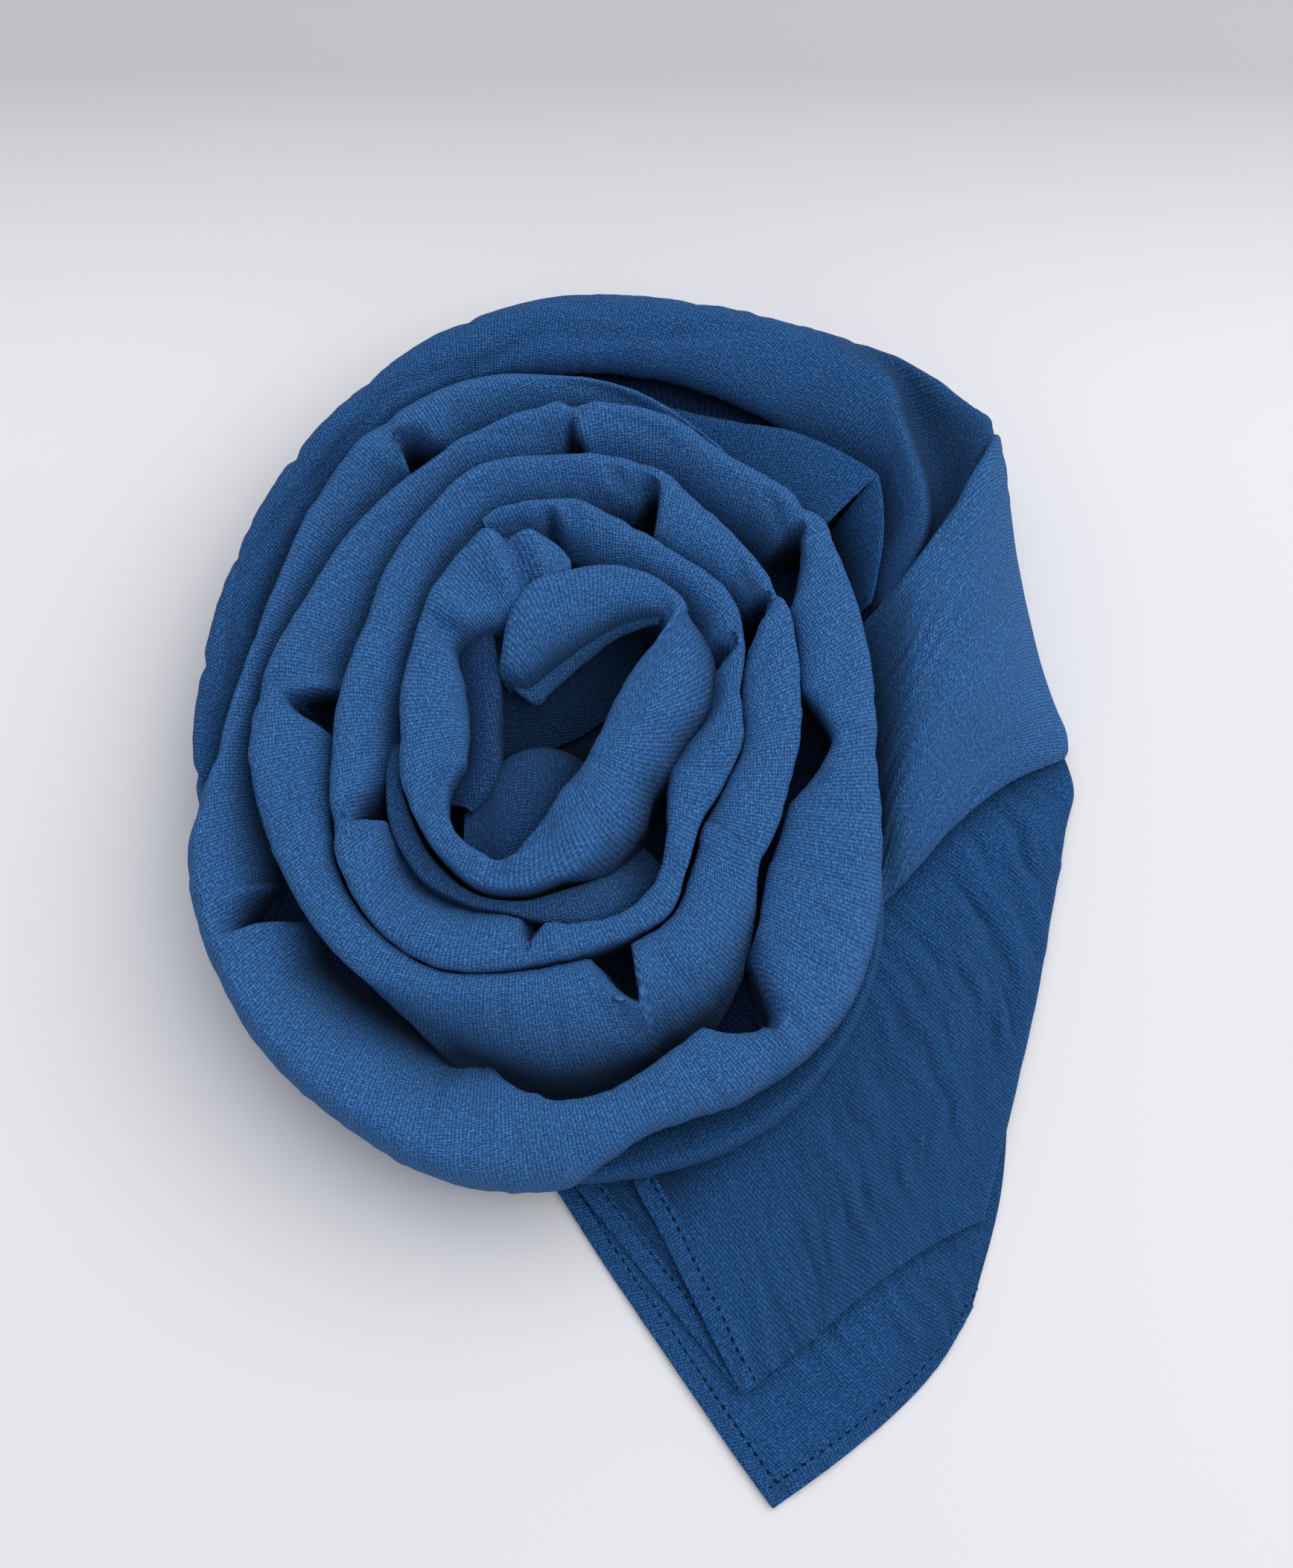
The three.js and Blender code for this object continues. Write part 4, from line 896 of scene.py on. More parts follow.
def mesh_piece(
    name: str,
    grid: Grid,
    u: np.ndarray,
    v: np.ndarray,
    depth: np.ndarray | None = None,
    closed: bool = False,
) -> bpy.types.Object:
    """Object with one quad a grid cell, and its cloth coordinates in millimetres as its UV map.

    Args:
        name: the object's name.
        grid: points in millimetres.
        u: distance along the scarf at each point.
        v: distance across it.
        depth: painted shade of each point, from 0 to 1, the darker the deeper it lies in a crevice.
        closed: whether the last row joins the first.

    Returns:
        The new object, in the scene.
    """
    rows, columns = grid.shape[:2]
    index = np.arange(rows * columns).reshape(rows, columns)
    if closed:
        index = np.vstack([index, index[:1]])
    corners = [index[:-1, :-1], index[:-1, 1:], index[1:, 1:], index[1:, :-1]]
    quads = np.stack(corners, axis=2).reshape(-1, 4)
    mesh = bpy.data.meshes.new(name)
    mesh.vertices.add(rows * columns)
    mesh.vertices.foreach_set("co", (grid.reshape(-1, 3) * MM).ravel())
    mesh.loops.add(quads.size)
    mesh.loops.foreach_set("vertex_index", quads.ravel())
    mesh.polygons.add(len(quads))
    mesh.polygons.foreach_set("loop_start", np.arange(len(quads)) * 4)
    mesh.update(calc_edges=True)
    flat = np.stack([u.ravel(), v.ravel()], axis=1)
    layer = mesh.uv_layers.new(name="cloth")
    layer.data.foreach_set("uv", flat[quads.ravel()].ravel())
    # Painted shade, which the material reads as depth
    dark = np.zeros(rows * columns) if depth is None else depth.ravel()
    shade = mesh.attributes.new("depth", "FLOAT", "POINT")
    shade.data.foreach_set("value", dark.astype(np.float32))
    mesh.polygons.foreach_set("use_smooth", np.ones(len(quads), dtype=bool))
    mesh.validate()
    uses = np.zeros(len(mesh.edges), dtype=int)
    edge_of_loop = np.empty(len(mesh.loops), dtype=int)
    mesh.loops.foreach_get("edge_index", edge_of_loop)
    np.add.at(uses, edge_of_loop, 1)
    mesh.attributes.new("sharp_edge", "BOOLEAN", "EDGE").data.foreach_set("value", uses == 1)
    piece = bpy.data.objects.new(name, mesh)
    bpy.context.collection.objects.link(piece)
    return piece


def thicken(piece: bpy.types.Object, thickness: float) -> None:
    """Gives a shell its thickness, inwards from its points.

    Args:
        piece: the shell.
        thickness: in millimetres.
    """
    solidify = piece.modifiers.new("thickness", "SOLIDIFY")
    solidify.thickness = thickness * MM
    solidify.offset = -1.0
    solidify.use_rim = True


def flat_size(grid: Grid) -> tuple[float, float]:
    """Mean size of a grid's surface.

    Args:
        grid: points in millimetres.

    Returns:
        Width and length, in metres.
    """
    width = float(arc_lengths(grid, 1)[:, -1].mean()) * MM
    length = float(arc_lengths(grid, 0)[-1].mean()) * MM
    return round(width, 4), round(length, 4)


def surface_area(grid: Grid) -> float:
    """Area of a grid's surface.

    Args:
        grid: points in millimetres.

    Returns:
        The area, in square metres.
    """
    one = np.cross(grid[:-1, 1:] - grid[:-1, :-1], grid[1:, :-1] - grid[:-1, :-1])
    other = np.cross(grid[1:, :-1] - grid[1:, 1:], grid[:-1, 1:] - grid[1:, 1:])
    return float((np.linalg.norm(one, axis=2) + np.linalg.norm(other, axis=2)).sum() / 2) * MM * MM


class Link:
    """A value or colour link in a material, with the arithmetic signs making Math nodes."""

    def __init__(self, nodes: "Nodes", socket: bpy.types.NodeSocket | None) -> None:
        """Wraps one output socket."""
        self.nodes, self.socket = nodes, socket

    def maths(self, operation: str, *others: "Link | float") -> "Link":
        """Result of one Math node on this value and the others.

        Args:
            operation: the node's operation.
            others: its other values.

        Returns:
            The result as a link.
        """
        return self.nodes.node("ShaderNodeMath", {"operation": operation}, (self, *others))

    def __add__(self, other: "Link | float") -> "Link":
        """Sum."""
        return self.maths("ADD", other)

    __radd__ = __add__

    def __mul__(self, other: "Link | float") -> "Link":
        """Product."""
        return self.maths("MULTIPLY", other)

    __rmul__ = __mul__

    def __sub__(self, other: "Link | float") -> "Link":
        """Difference."""
        return self.maths("SUBTRACT", other)

    def __rsub__(self, other: float) -> "Link":
        """Difference from a number."""
        return self.nodes.node("ShaderNodeMath", {"operation": "SUBTRACT"}, (other, self))

    def sine(self) -> "Link":
        """Sine of the value, in radians."""
        return self.maths("SINE")

    def clamped(self, low: float = 0.0, high: float = 1.0) -> "Link":
        """The value kept between two limits."""
        return self.maths("MAXIMUM", low).maths("MINIMUM", high)


class Nodes:
    """A material's node tree, filled by one node-making method."""

    # The colour sockets of a Mix node: factor, first and second colour, and the result
    MIX_INPUTS = (0, 6, 7)
    MIX_RESULT = 2

    def __init__(self, name: str) -> None:
        """Starts an empty material.

        Args:
            name: the material's name.
        """
        self.material = bpy.data.materials.new(name)
        self.material.use_nodes = True
        self.tree = self.material.node_tree
        self.tree.nodes.clear()

    def node(
        self,
        kind: str,
        settings: dict | None = None,
        values: tuple = (),
        named: dict | None = None,
        output: int | str = 0,
    ) -> Link:
        """Makes a node and returns one of its outputs.

        Args:
            kind: the node's type.
            settings: its own properties, set first.
            values: numbers, colours or links for its inputs in order; None leaves one alone.
            named: the same by the input's name or number.
            output: which output to return.

        Returns:
            The output as a link, empty for a node without outputs.
        """
        made = self.tree.nodes.new(kind)
        for key, value in (settings or {}).items():
            setattr(made, key, value)
        for place, value in [*enumerate(values), *(named or {}).items()]:
            if value is None:
                continue
            if isinstance(value, Link):
                self.tree.links.new(value.socket, made.inputs[place])
            else:
                made.inputs[place].default_value = value
        return Link(self, made.outputs[output] if made.outputs else None)

    def mix(self, factor: Link | float, low: Link | tuple, high: Link | tuple) -> Link:
        """Mix of two colours."""
        inputs = dict(zip(self.MIX_INPUTS, (factor, low, high)))
        return self.node("ShaderNodeMix", {"data_type": "RGBA"}, named=inputs, output=self.MIX_RESULT)

    def noise(self, vector: Link, scale: float, detail: float, **others: float) -> Link:
        """Noise over a vector; other inputs go by their names."""
        named = {"Vector": vector, "Scale": scale, "Detail": detail, **others}
        return self.node("ShaderNodeTexNoise", named=named)

    def surface(self, **inputs: "Link | float | tuple") -> bpy.types.Material:
        """Ends the tree with a Principled shader.

        Args:
            inputs: the shader's inputs, with underscores for the spaces in their names.

        Returns:
            The finished material.
        """
        named = {name.replace("_", " "): value for name, value in inputs.items()}
        shader = self.node("ShaderNodeBsdfPrincipled", named=named)
        self.node("ShaderNodeOutputMaterial", named={"Surface": shader})
        return self.material


@dataclass(frozen=True)
class CrepeFinish:
    """Matt crepe: a pebbly weave over a dyed blue, with soft mottling, a low sheen and painted shade from
    each piece's depth.

    The pitch is in millimetres, and the heights of the relief in metres.
    """

    # Threads' courses over the cloth: parts along and across, and the second set's rate beside the first's
    RIB = (0.8, 0.55)
    RUNG = (-0.42, 0.9)
    RUNG_RATE = 0.86
    # How far the threads wander, and the noise that they wander by
    BEND, BEND_SCALE = 1.1, 0.55
    # The weave: weights of the pebbles and of the grain between them, and what is taken off
    PEBBLE, GRAIN, GRAIN_SCALE, WEAVE_BASE = 1.15, 3.3, 1.15, 1.72
    # Streaks along the wrinkles, partly the yarn's own streaks and partly painted shade in the troughs of the
    # crinkles they raise: the cloth's coordinates are drawn out by these, and their noise
    DRAWN_OUT = (0.9, 0.11, 1.0)
    STREAK_SCALE = 0.6
    # Slow mottling: its noise, its range and its least
    MOTTLE_SCALE, MOTTLE, MOTTLE_BASE = 0.06, 0.16, 0.92
    GAIN = 1.02
    # The tone runs from this part of the colour to this many times it
    DARKEST, LIGHTEST = 0.1, 1.75
    SPECULAR = 0.1
    SHEEN_ROUGHNESS = 0.45
    SHEEN_TINT = (0.3, 0.55, 1.0, 1.0)

    name: str
    colour: tuple[float, float, float] = (0.0285, 0.107, 0.284)
    # Tone kept in the weave's pits: its own pattern, with painted shade in the pits
    pit: float = 0.3
    pitch: float = 1.15
    weave_height: float = 0.00042
    crinkle_height: float = 0.0005
    streak: float = 0.25
    # How far the painted shade darkens the tone
    painted_shade_strength: float = 0.97
    sheen: float = 0.1
    roughness: float = 0.9

    def weave(self, n: Nodes, cloth: Link) -> Link:
        """The weave's height.

        Args:
            n: the material's nodes.
            cloth: the cloth's coordinates in millimetres.

        Returns:
            From 0 between the threads to 1 on them.
        """
        axes = n.node("ShaderNodeSeparateXYZ", values=(cloth,))
        u, v = axes, Link(n, axes.socket.node.outputs[1])
        bend = (n.noise(cloth, self.BEND_SCALE, 2.0) - 0.5) * self.BEND
        turn = 2 * math.pi / self.pitch
        rib = ((u * self.RIB[0] + v * self.RIB[1] + bend) * turn).sine()
        rung = ((v * self.RUNG[1] + u * self.RUNG[0] + bend) * (turn * self.RUNG_RATE)).sine()
        pebble = (rib * rung + 1.0) * 0.5
        grain = n.noise(cloth, self.GRAIN_SCALE, 2.0, Roughness=0.7)
        return (pebble * self.PEBBLE + grain * self.GRAIN - self.WEAVE_BASE).clamped()

    def build(self) -> bpy.types.Material:
        """Makes the material.

        Returns:
            The material, which reads each piece's cloth coordinates and its painted shade, kept as depth.
        """
        n = Nodes(self.name)
        cloth = n.node("ShaderNodeUVMap", {"uv_map": "cloth"})
        weave = self.weave(n, cloth)
        stretched = n.node("ShaderNodeMapping", values=(cloth, None, None, self.DRAWN_OUT))
        streak = n.noise(stretched, self.STREAK_SCALE, 4.0, Roughness=0.6)
        mottle = n.noise(cloth, self.MOTTLE_SCALE, 3.0)
        # Darker between the threads: the weave's own pattern, with painted shade in its pits
        tone = (weave * (1 - self.pit) + self.pit) * self.GAIN
        tone = tone * (streak * self.streak + (1 - self.streak / 2))
        tone = tone * (mottle * self.MOTTLE + self.MOTTLE_BASE)
        # Painted shade: each piece's depth darkens the tone
        depth = n.node("ShaderNodeAttribute", {"attribute_name": "depth"}, output="Fac")
        tone = tone * (1.0 - depth * self.painted_shade_strength)
        dark = tuple(c * self.DARKEST for c in self.colour) + (1.0,)
        light = tuple(min(1.0, c * self.LIGHTEST) for c in self.colour) + (1.0,)
        relief = weave * self.weave_height + streak * self.crinkle_height
        bump = n.node("ShaderNodeBump", named={"Strength": 1.0, "Distance": 1.0, "Height": relief})
        return n.surface(
            Base_Color=n.mix(tone.clamped(), dark, light),
            Roughness=self.roughness,
            Specular_IOR_Level=self.SPECULAR,
            Sheen_Weight=self.sheen,
            Sheen_Roughness=self.SHEEN_ROUGHNESS,
            Sheen_Tint=self.SHEEN_TINT,
            Normal=bump,
        )


def declare(
    piece: bpy.types.Object, finish: bpy.types.Material, nodes: tuple[str, ...]
) -> None:
    """Dresses a piece, hangs it from the root and hides the CAD nodes that it replaces.

    Args:
        piece: the finished piece.
        finish: its material.
        nodes: the CAD nodes that it replaces.
    """
    piece.data.materials.clear()
    piece.data.materials.append(finish)
    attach(piece, "root")
    if nodes:
        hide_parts(*nodes)
    log.info("made %s with %d faces", piece.name, len(piece.data.polygons))


def catmull(points: np.ndarray, places: np.ndarray) -> np.ndarray:
    """Smooth curve through control points.

    Args:
        points: controls by anything.
        places: where to read it, from 0 to 1.

    Returns:
        The curve's points.
    """
    count = len(points)
    padded = np.concatenate([2 * points[:1] - points[1:2], points, 2 * points[-1:] - points[-2:-1]])
    place = np.clip(places * (count - 1), 0, count - 1 - 1e-9)
    k = place.astype(int)
    t = (place - k).reshape((-1,) + (1,) * (points.ndim - 1))
    a, b, c, d = (padded[k + i] for i in range(4))
    return 0.5 * (2 * b + (c - a) * t + (2 * a - 5 * b + 4 * c - d) * t**2 + (3 * b - a - 3 * c + d) * t**3)


CURL_ROWS = (
    (
        (72, 92, 26), (74, 94, 31), (79, 101, 40), (88, 111, 45),
        (92, 115.5, 41), (97, 118.6, 36), (97.5, 119, 0),
    ),
    (
        (86, 82, 26), (88, 84, 31), (91, 90, 40), (95, 97, 44),
        (101, 101, 33), (113.2, 107.4, 37), (115, 108.6, 0),
    ),
    (
        (88, 69, 26), (91, 70, 31), (96, 74, 40), (101, 78, 43),
        (107, 84, 30), (121.6, 97, 37), (123, 98, 0),
    ),
    (
        (88, 57, 26), (89.5, 58, 31), (95.5, 61, 38), (101, 64.5, 40),
        (105, 69, 28), (112, 78, 32), (120, 88, 8),
    ),
    (
        (86, 45, 26), (87.5, 46, 30), (90, 47, 34), (94, 48, 35),
        (95.5, 50, 28), (97, 53, 30), (101, 57, 12),
    ),
)
SIDE_WRAP_ROWS = (
    ((84, 41, 27), (97, 52, 37), (110.4, 69.6, 39), (118.5, 86.5, 38), (121.2, 97, 33), (121.8, 98, 1)),
    (
        (83, 38.6, 30), (94.6, 50.4, 44), (108.4, 68, 46),
        (118.2, 84.6, 45), (124, 95, 35), (124.4, 95.4, 1),
    ),
    ((84, 33.5, 27), (97, 43, 45), (111, 59, 46), (121, 75, 41), (126.4, 84.5, 28), (126.8, 85, 1)),
    ((85.2, 24, 22), (97, 28.5, 42), (113.4, 41, 43), (124, 55, 34), (129.4, 64, 21), (129.6, 64, 1)),
    ((86.4, 10, 20), (97, 12, 39), (113, 20, 39.6), (127, 29, 29), (134.8, 39, 15), (135, 39, 1)),
    ((87, -4, 20), (95.5, -2, 36), (111, 7, 35), (128, 16, 25), (139.2, 24, 12), (139.4, 24, 1)),
    ((88, -18, 19), (95, -13, 31), (110, 0, 31), (127, 9.5, 22), (142.4, 15.4, 10.6), (142.6, 16, 1)),
    (
        (88.5, -27, 18), (95.5, -20.6, 26), (109, -6.6, 27),
        (126, 4.8, 20.6), (143, 10.5, 9), (143.2, 11, 2),
    ),
    (
        (89, -33, 15), (96, -26.5, 20.6), (109.4, -11.4, 22),
        (124.5, 0.6, 18.6), (142.4, 8.5, 8.4), (142.6, 9, 3),
    ),
    (
        (89.4, -36, 12), (96.6, -29, 15.5), (110, -13.8, 16.4),
        (124.8, -1.6, 14.5), (141.8, 7.4, 7.4), (142, 8, 3),
    ),
    (
        (89, -34, 10.5), (96, -26, 11.8), (109.4, -10.6, 12.6),
        (124, 1.4, 11.6), (141, 9, 6.4), (141.2, 9.4, 3),
    ),
)
TAIL_TOP_ROWS = (
    ((19, -114, 7), (56, -72, 8), (84, -26, 9.2), (106, 1, 10), (136, 19, 6), (136, 19, 2.2)),
    ((22, -120, 6.8), (60, -84, 7.8), (88, -43, 8.8), (113, -17, 9), (143.6, 0, 5), (143.2, 0, 2)),
    ((26, -127, 6.4), (66, -96, 7.4), (95, -62, 8.2), (118, -38, 8), (141.6, -15, 5), (141, -15, 2)),
    (
        (35, -145, 6), (66, -121, 6.8), (92, -98, 7.2),
        (114, -77, 6.6), (133.2, -57, 4.8), (132.6, -57, 2),
    ),
    (
        (43, -161, 5.8), (66, -144, 6.2), (86, -129, 6.4),
        (105, -113, 6), (123, -97, 4.6), (122.4, -97, 2),
    ),
    (
        (49, -172, 5.6), (67, -158, 5.8), (85, -143, 5.8),
        (101, -132, 5.6), (115, -125, 4.6), (114.6, -124.6, 2.4),
    ),
)
TAIL_MIDDLE_ROWS = (
    ((2, -114, 3.2), (70, -80, 3.4), (122, -32, 3.4)),
    ((18, -134, 3.2), (76, -98, 3.4), (124, -60, 3.4)),
    ((34, -154, 3.2), (79, -122, 3.4), (119, -90, 3.4)),
    ((47, -170, 3.2), (82, -144, 3.4), (112, -120, 3.4)),
)
TAIL_BOTTOM_ROWS = (
    ((-5, -112, 1), (35, -95, 1), (72, -80, 1), (104, -56, 1), (124, -40, 1)),
    ((12, -138, 1), (47, -120, 1), (76, -105, 1), (106, -84, 1), (125.6, -68, 1)),
    ((30, -164, 1), (58, -143, 1), (84, -127, 1), (108, -107, 1), (124.6, -93, 1)),
    ((46, -187, 1), (68, -166, 1), (90, -150, 1), (108, -132, 1), (121.5, -119, 1)),
    ((57, -202, 1), (73.4, -190.6, 1), (90, -177.4, 1), (103, -164, 1), (113, -148, 1)),
)


WELL_LAYER_ROWS = (
    ((-30, 36, 50), (-25, 34, 54), (-21, 32, 55), (-19.8, 31.5, 51), (-20, 31.5, 30)),
    ((-29, 21, 50), (-23.5, 20.5, 55), (-19.5, 20.3, 56), (-18.3, 20, 52), (-18.5, 20, 30)),
    ((-28, 3, 50), (-23, 2.5, 55.5), (-19, 2.1, 56.5), (-17.8, 2, 52), (-18, 2, 30)),
    ((-28, -6, 50), (-23, -6.5, 55), (-18.8, -6.9, 55.5), (-17.6, -7, 52), (-18, -7, 30)),
    ((-30, -12, 50), (-25, -12.8, 53.5), (-21.5, -13.7, 54), (-20.4, -14, 50), (-20.5, -14, 32)),
    ((-32, -16, 48), (-28, -17, 51), (-25.7, -18.1, 52), (-24.8, -18.6, 49), (-25, -18.6, 34)),
)
WELL_FOLD_ROWS = (
    ((-25, -9, 30), (-26.5, -15, 42), (-27, -19, 48), (-27, -27, 50), (-27, -36, 46)),
    ((-20, -6, 30), (-21.8, -12, 43), (-22, -15, 50), (-21.5, -25, 52), (-21, -38, 48)),
    ((-17, 1, 30), (-18.5, -4, 43), (-18.5, -7.5, 50.5), (-17, -22, 54), (-16, -40, 50)),
    ((-11, 4, 30), (-12.5, 0, 44), (-12.5, -4, 51), (-11, -20, 54), (-10, -38, 50)),
    ((-5, 4.5, 30), (-6, 1.2, 43), (-6, -3, 50), (-5, -17, 52), (-5, -34, 48)),
    ((1, 3, 30), (0, 0, 41), (0.5, -4, 47), (1, -14, 47), (2, -28, 44)),
    ((7, -1, 30), (5, -4, 37), (5, -7, 42), (5, -14, 42), (6, -24, 40)),
)
WELL_BACK_ROWS = (
    ((-19, 34, 50), (-18.5, 16, 43), (-18, 0, 32)),
    ((-10, 34, 49), (-10, 18, 42), (-9, 3, 30)),
    ((2, 38, 48), (3, 24, 39), (3, 8, 29)),
    ((14, 42, 47), (14, 30, 37), (12, 14, 29)),
    ((24, 42, 46), (22, 34, 36), (18, 18, 29)),
)


# The rounded heap of hidden layers under the turns, with its values in the order of HEAP_COLUMNS
HEAP_COLUMNS = ("bearing", "shoulder", "rim", "rim_height")
HEAP_ROWS = (
    (0, 86, 122, 14), (15, 88, 126, 14), (30, 92, 128, 14), (45, 112, 146, 14), (60, 110, 140, 14),
    (75, 110, 134, 14), (90, 108, 132, 14), (105, 108, 127, 14), (120, 102, 118, 14),
    (135, 95, 110, 14), (150, 88, 104, 14), (165, 82, 96, 14), (180, 80, 92, 10), (195, 83, 99, 12),
    (210, 90, 107, 14), (225, 92, 111, 14), (240, 93, 112, 14), (255, 94, 112, 14), (266, 93, 100, 10),
    (285, 91, 99, 10), (300, 90, 98, 10), (315, 88, 96, 10), (330, 84, 90, 10), (345, 82, 88, 12),
    (360, 86, 122, 14),
)


@dataclass
class Heap:
    """The hidden layers' cloth, near black to paint the shade deep between the turns: level under the turns,
    rounded down to the table, and level on it.
    """

    # Ends of the level top, the round and the upright rim, as parts of a row; then comes the underside
    TOP, ROUND, RIM = 0.35, 0.6, 0.7
    # How far the rim leans in, and the radius that stays open in the middle
    LEAN, MIDDLE = 1.5, 0.4
    # Soft hollows in the top: their mean depth and their size
    HOLLOW, HOLLOW_CELL = 0.9, 13

    name: str = "hidden_layers_cloth"
    seed: int = 171
    columns: int = 44
    rows: int = 180
    thickness: float = 0.4

    def surface(self) -> tuple[Grid, np.ndarray, np.ndarray]:
        """Points of the shell, with the cloth's own coordinates.

        Returns:
            Points from the top's middle to the underside's, distance round, and distance out.
        """
        bearings = np.linspace(0, 360, self.rows, endpoint=False)
        table = np.array(HEAP_ROWS, dtype=float)
        shoulder, rim, rim_height = (
            np.interp(bearings, table[:, 0], table[:, k])[:, None] for k in range(1, len(HEAP_COLUMNS))
        )
        place = np.linspace(0, 1, self.columns)[None, :]
        out = np.clip((place - self.TOP) / (self.ROUND - self.TOP), 0, 1)
        down = np.clip((place - self.ROUND) / (self.RIM - self.ROUND), 0, 1)
        back = np.clip((place - self.RIM) / (1 - self.RIM), 0, 1)
        turn = out * math.pi / 2
        radius = shoulder * np.minimum(place / self.TOP, 1) + (rim - shoulder) * np.sin(turn)
        radius = radius - self.LEAN * down
        radius = np.maximum(radius * (1 - back), self.MIDDLE)
        low = self.thickness
        z = HEAP_TOP - low - (HEAP_TOP - rim_height) * (1 - np.cos(turn)) - (rim_height - low) * down
        lump = Ripple(self.seed)
        angle = np.radians(bearings)[:, None]
        x, y = radius * np.cos(angle), radius * np.sin(angle)
        hollow = 1 + lump.at(x / self.HOLLOW_CELL + 50, y / self.HOLLOW_CELL + 50)
        z = z - self.HOLLOW * hollow * (1 - down)
        grid = np.stack([x, y, np.where(back > 0, low, np.maximum(z, low))], axis=2)
        return grid, angle * 60 + 0 * radius, arc_lengths(grid, 1)


class Edge(Enum):
    """An edge of a panel that carries a hem."""

    LEFT = "side"
    END = "end"


@dataclass
class Hem:
    """A turned and stitched hem on one edge of a panel, in millimetres."""

    # It rounds down to the cloth over the first, and the fold at the edge rises over the second from a part
    ROUND, FOLD, FOLD_PART = 0.7, 0.5, 0.4
    # The stitches' groove: its half width and depth
    GROOVE, GROOVE_DEPTH = 0.7, 0.26
    # The puckers' part away from the stitches, and the length of their slow wander
    PUCKER_PART, PUCKER_WAVE = 0.35, 7
    # Panels with one hem only, whose CAD node has no edge in its name
    SINGLE = ("tail_top", "tail_middle")

    panel: str
    edge: Edge
    width: float = 6.2
    inset: float = 4.8
    lift: float = 0.55
    pucker: float = 0.12
    pitch: float = 3.0
    points: int = 26
    thickness: float = 0.4

    @property
    def name(self) -> str:
        """The hem's CAD node."""
        side = "" if self.panel in self.SINGLE else f"_{self.edge.value}"
        return f"{self.panel}{side}_hem"

    def lines(self, grid: Grid, reach: np.ndarray) -> Grid:
        """Points of the cloth at distances from the edge.

        Args:
            grid: the panel's points.
            reach: distances inwards from the edge.

        Returns:
            One row a station of the edge, one column a distance.
        """
        turned = grid if self.edge is Edge.LEFT else grid[::-1].transpose(1, 0, 2)
        inwards = arc_lengths(turned, 1)
        return np.stack([
            np.stack([np.interp(reach, place, row[:, axis]) for axis in range(3)], axis=1)
            for place, row in zip(inwards, turned)
        ])

    def surface(self, grid: Grid) -> tuple[Grid, np.ndarray, np.ndarray]:
        """The hem's upper layer: it lies over the edge, dips at the stitches and rounds down to the cloth.

        Args:
            grid: the panel's points.

        Returns:
            Points, distance along the hem, and distance from the edge.
        """
        reach = np.linspace(0, self.width, self.points)
        strip = self.lines(grid, reach)
        along = arc_lengths(strip, 0)
        rounded = np.clip((self.width - reach) / self.ROUND, 0, 1) ** 0.5
        rise = (self.lift * rounded * np.clip(reach / self.FOLD + self.FOLD_PART, 0, 1))[None, :]
        seam = bell(reach - self.inset, self.GROOVE)[None, :]
        wander = Ripple(211).at(along / self.PUCKER_WAVE + 3, 0 * along + 9.5)
        gather = np.cos(along / self.pitch * 2 * math.pi) + wander
        puckers = self.pucker * gather * (self.PUCKER_PART + seam) * np.minimum(rise * 2, 1)
        lift = rise - self.GROOVE_DEPTH * seam + puckers
        return strip + up_normals(strip) * lift[:, :, None], along, reach[None, :] + 0 * along

    def seam_line(self, grid: Grid) -> np.ndarray:
        """Points of the row of stitches, just over the hem.

        Args:
            grid: the panel's points.

        Returns:
            The line's points, without the ends of the edge.
        """
        strip = self.lines(grid, np.linspace(self.inset - 0.6, self.inset + 0.6, 3))
        return (strip + up_normals(strip) * self.lift)[3:-4, 1]


def up_normals(grid: Grid) -> Grid:
    """Unit normals of a laid grid, turned up."""
    normals = grid_normals(grid)
    return normals * np.where(normals[:, :, 2:] < 0, -1, 1)


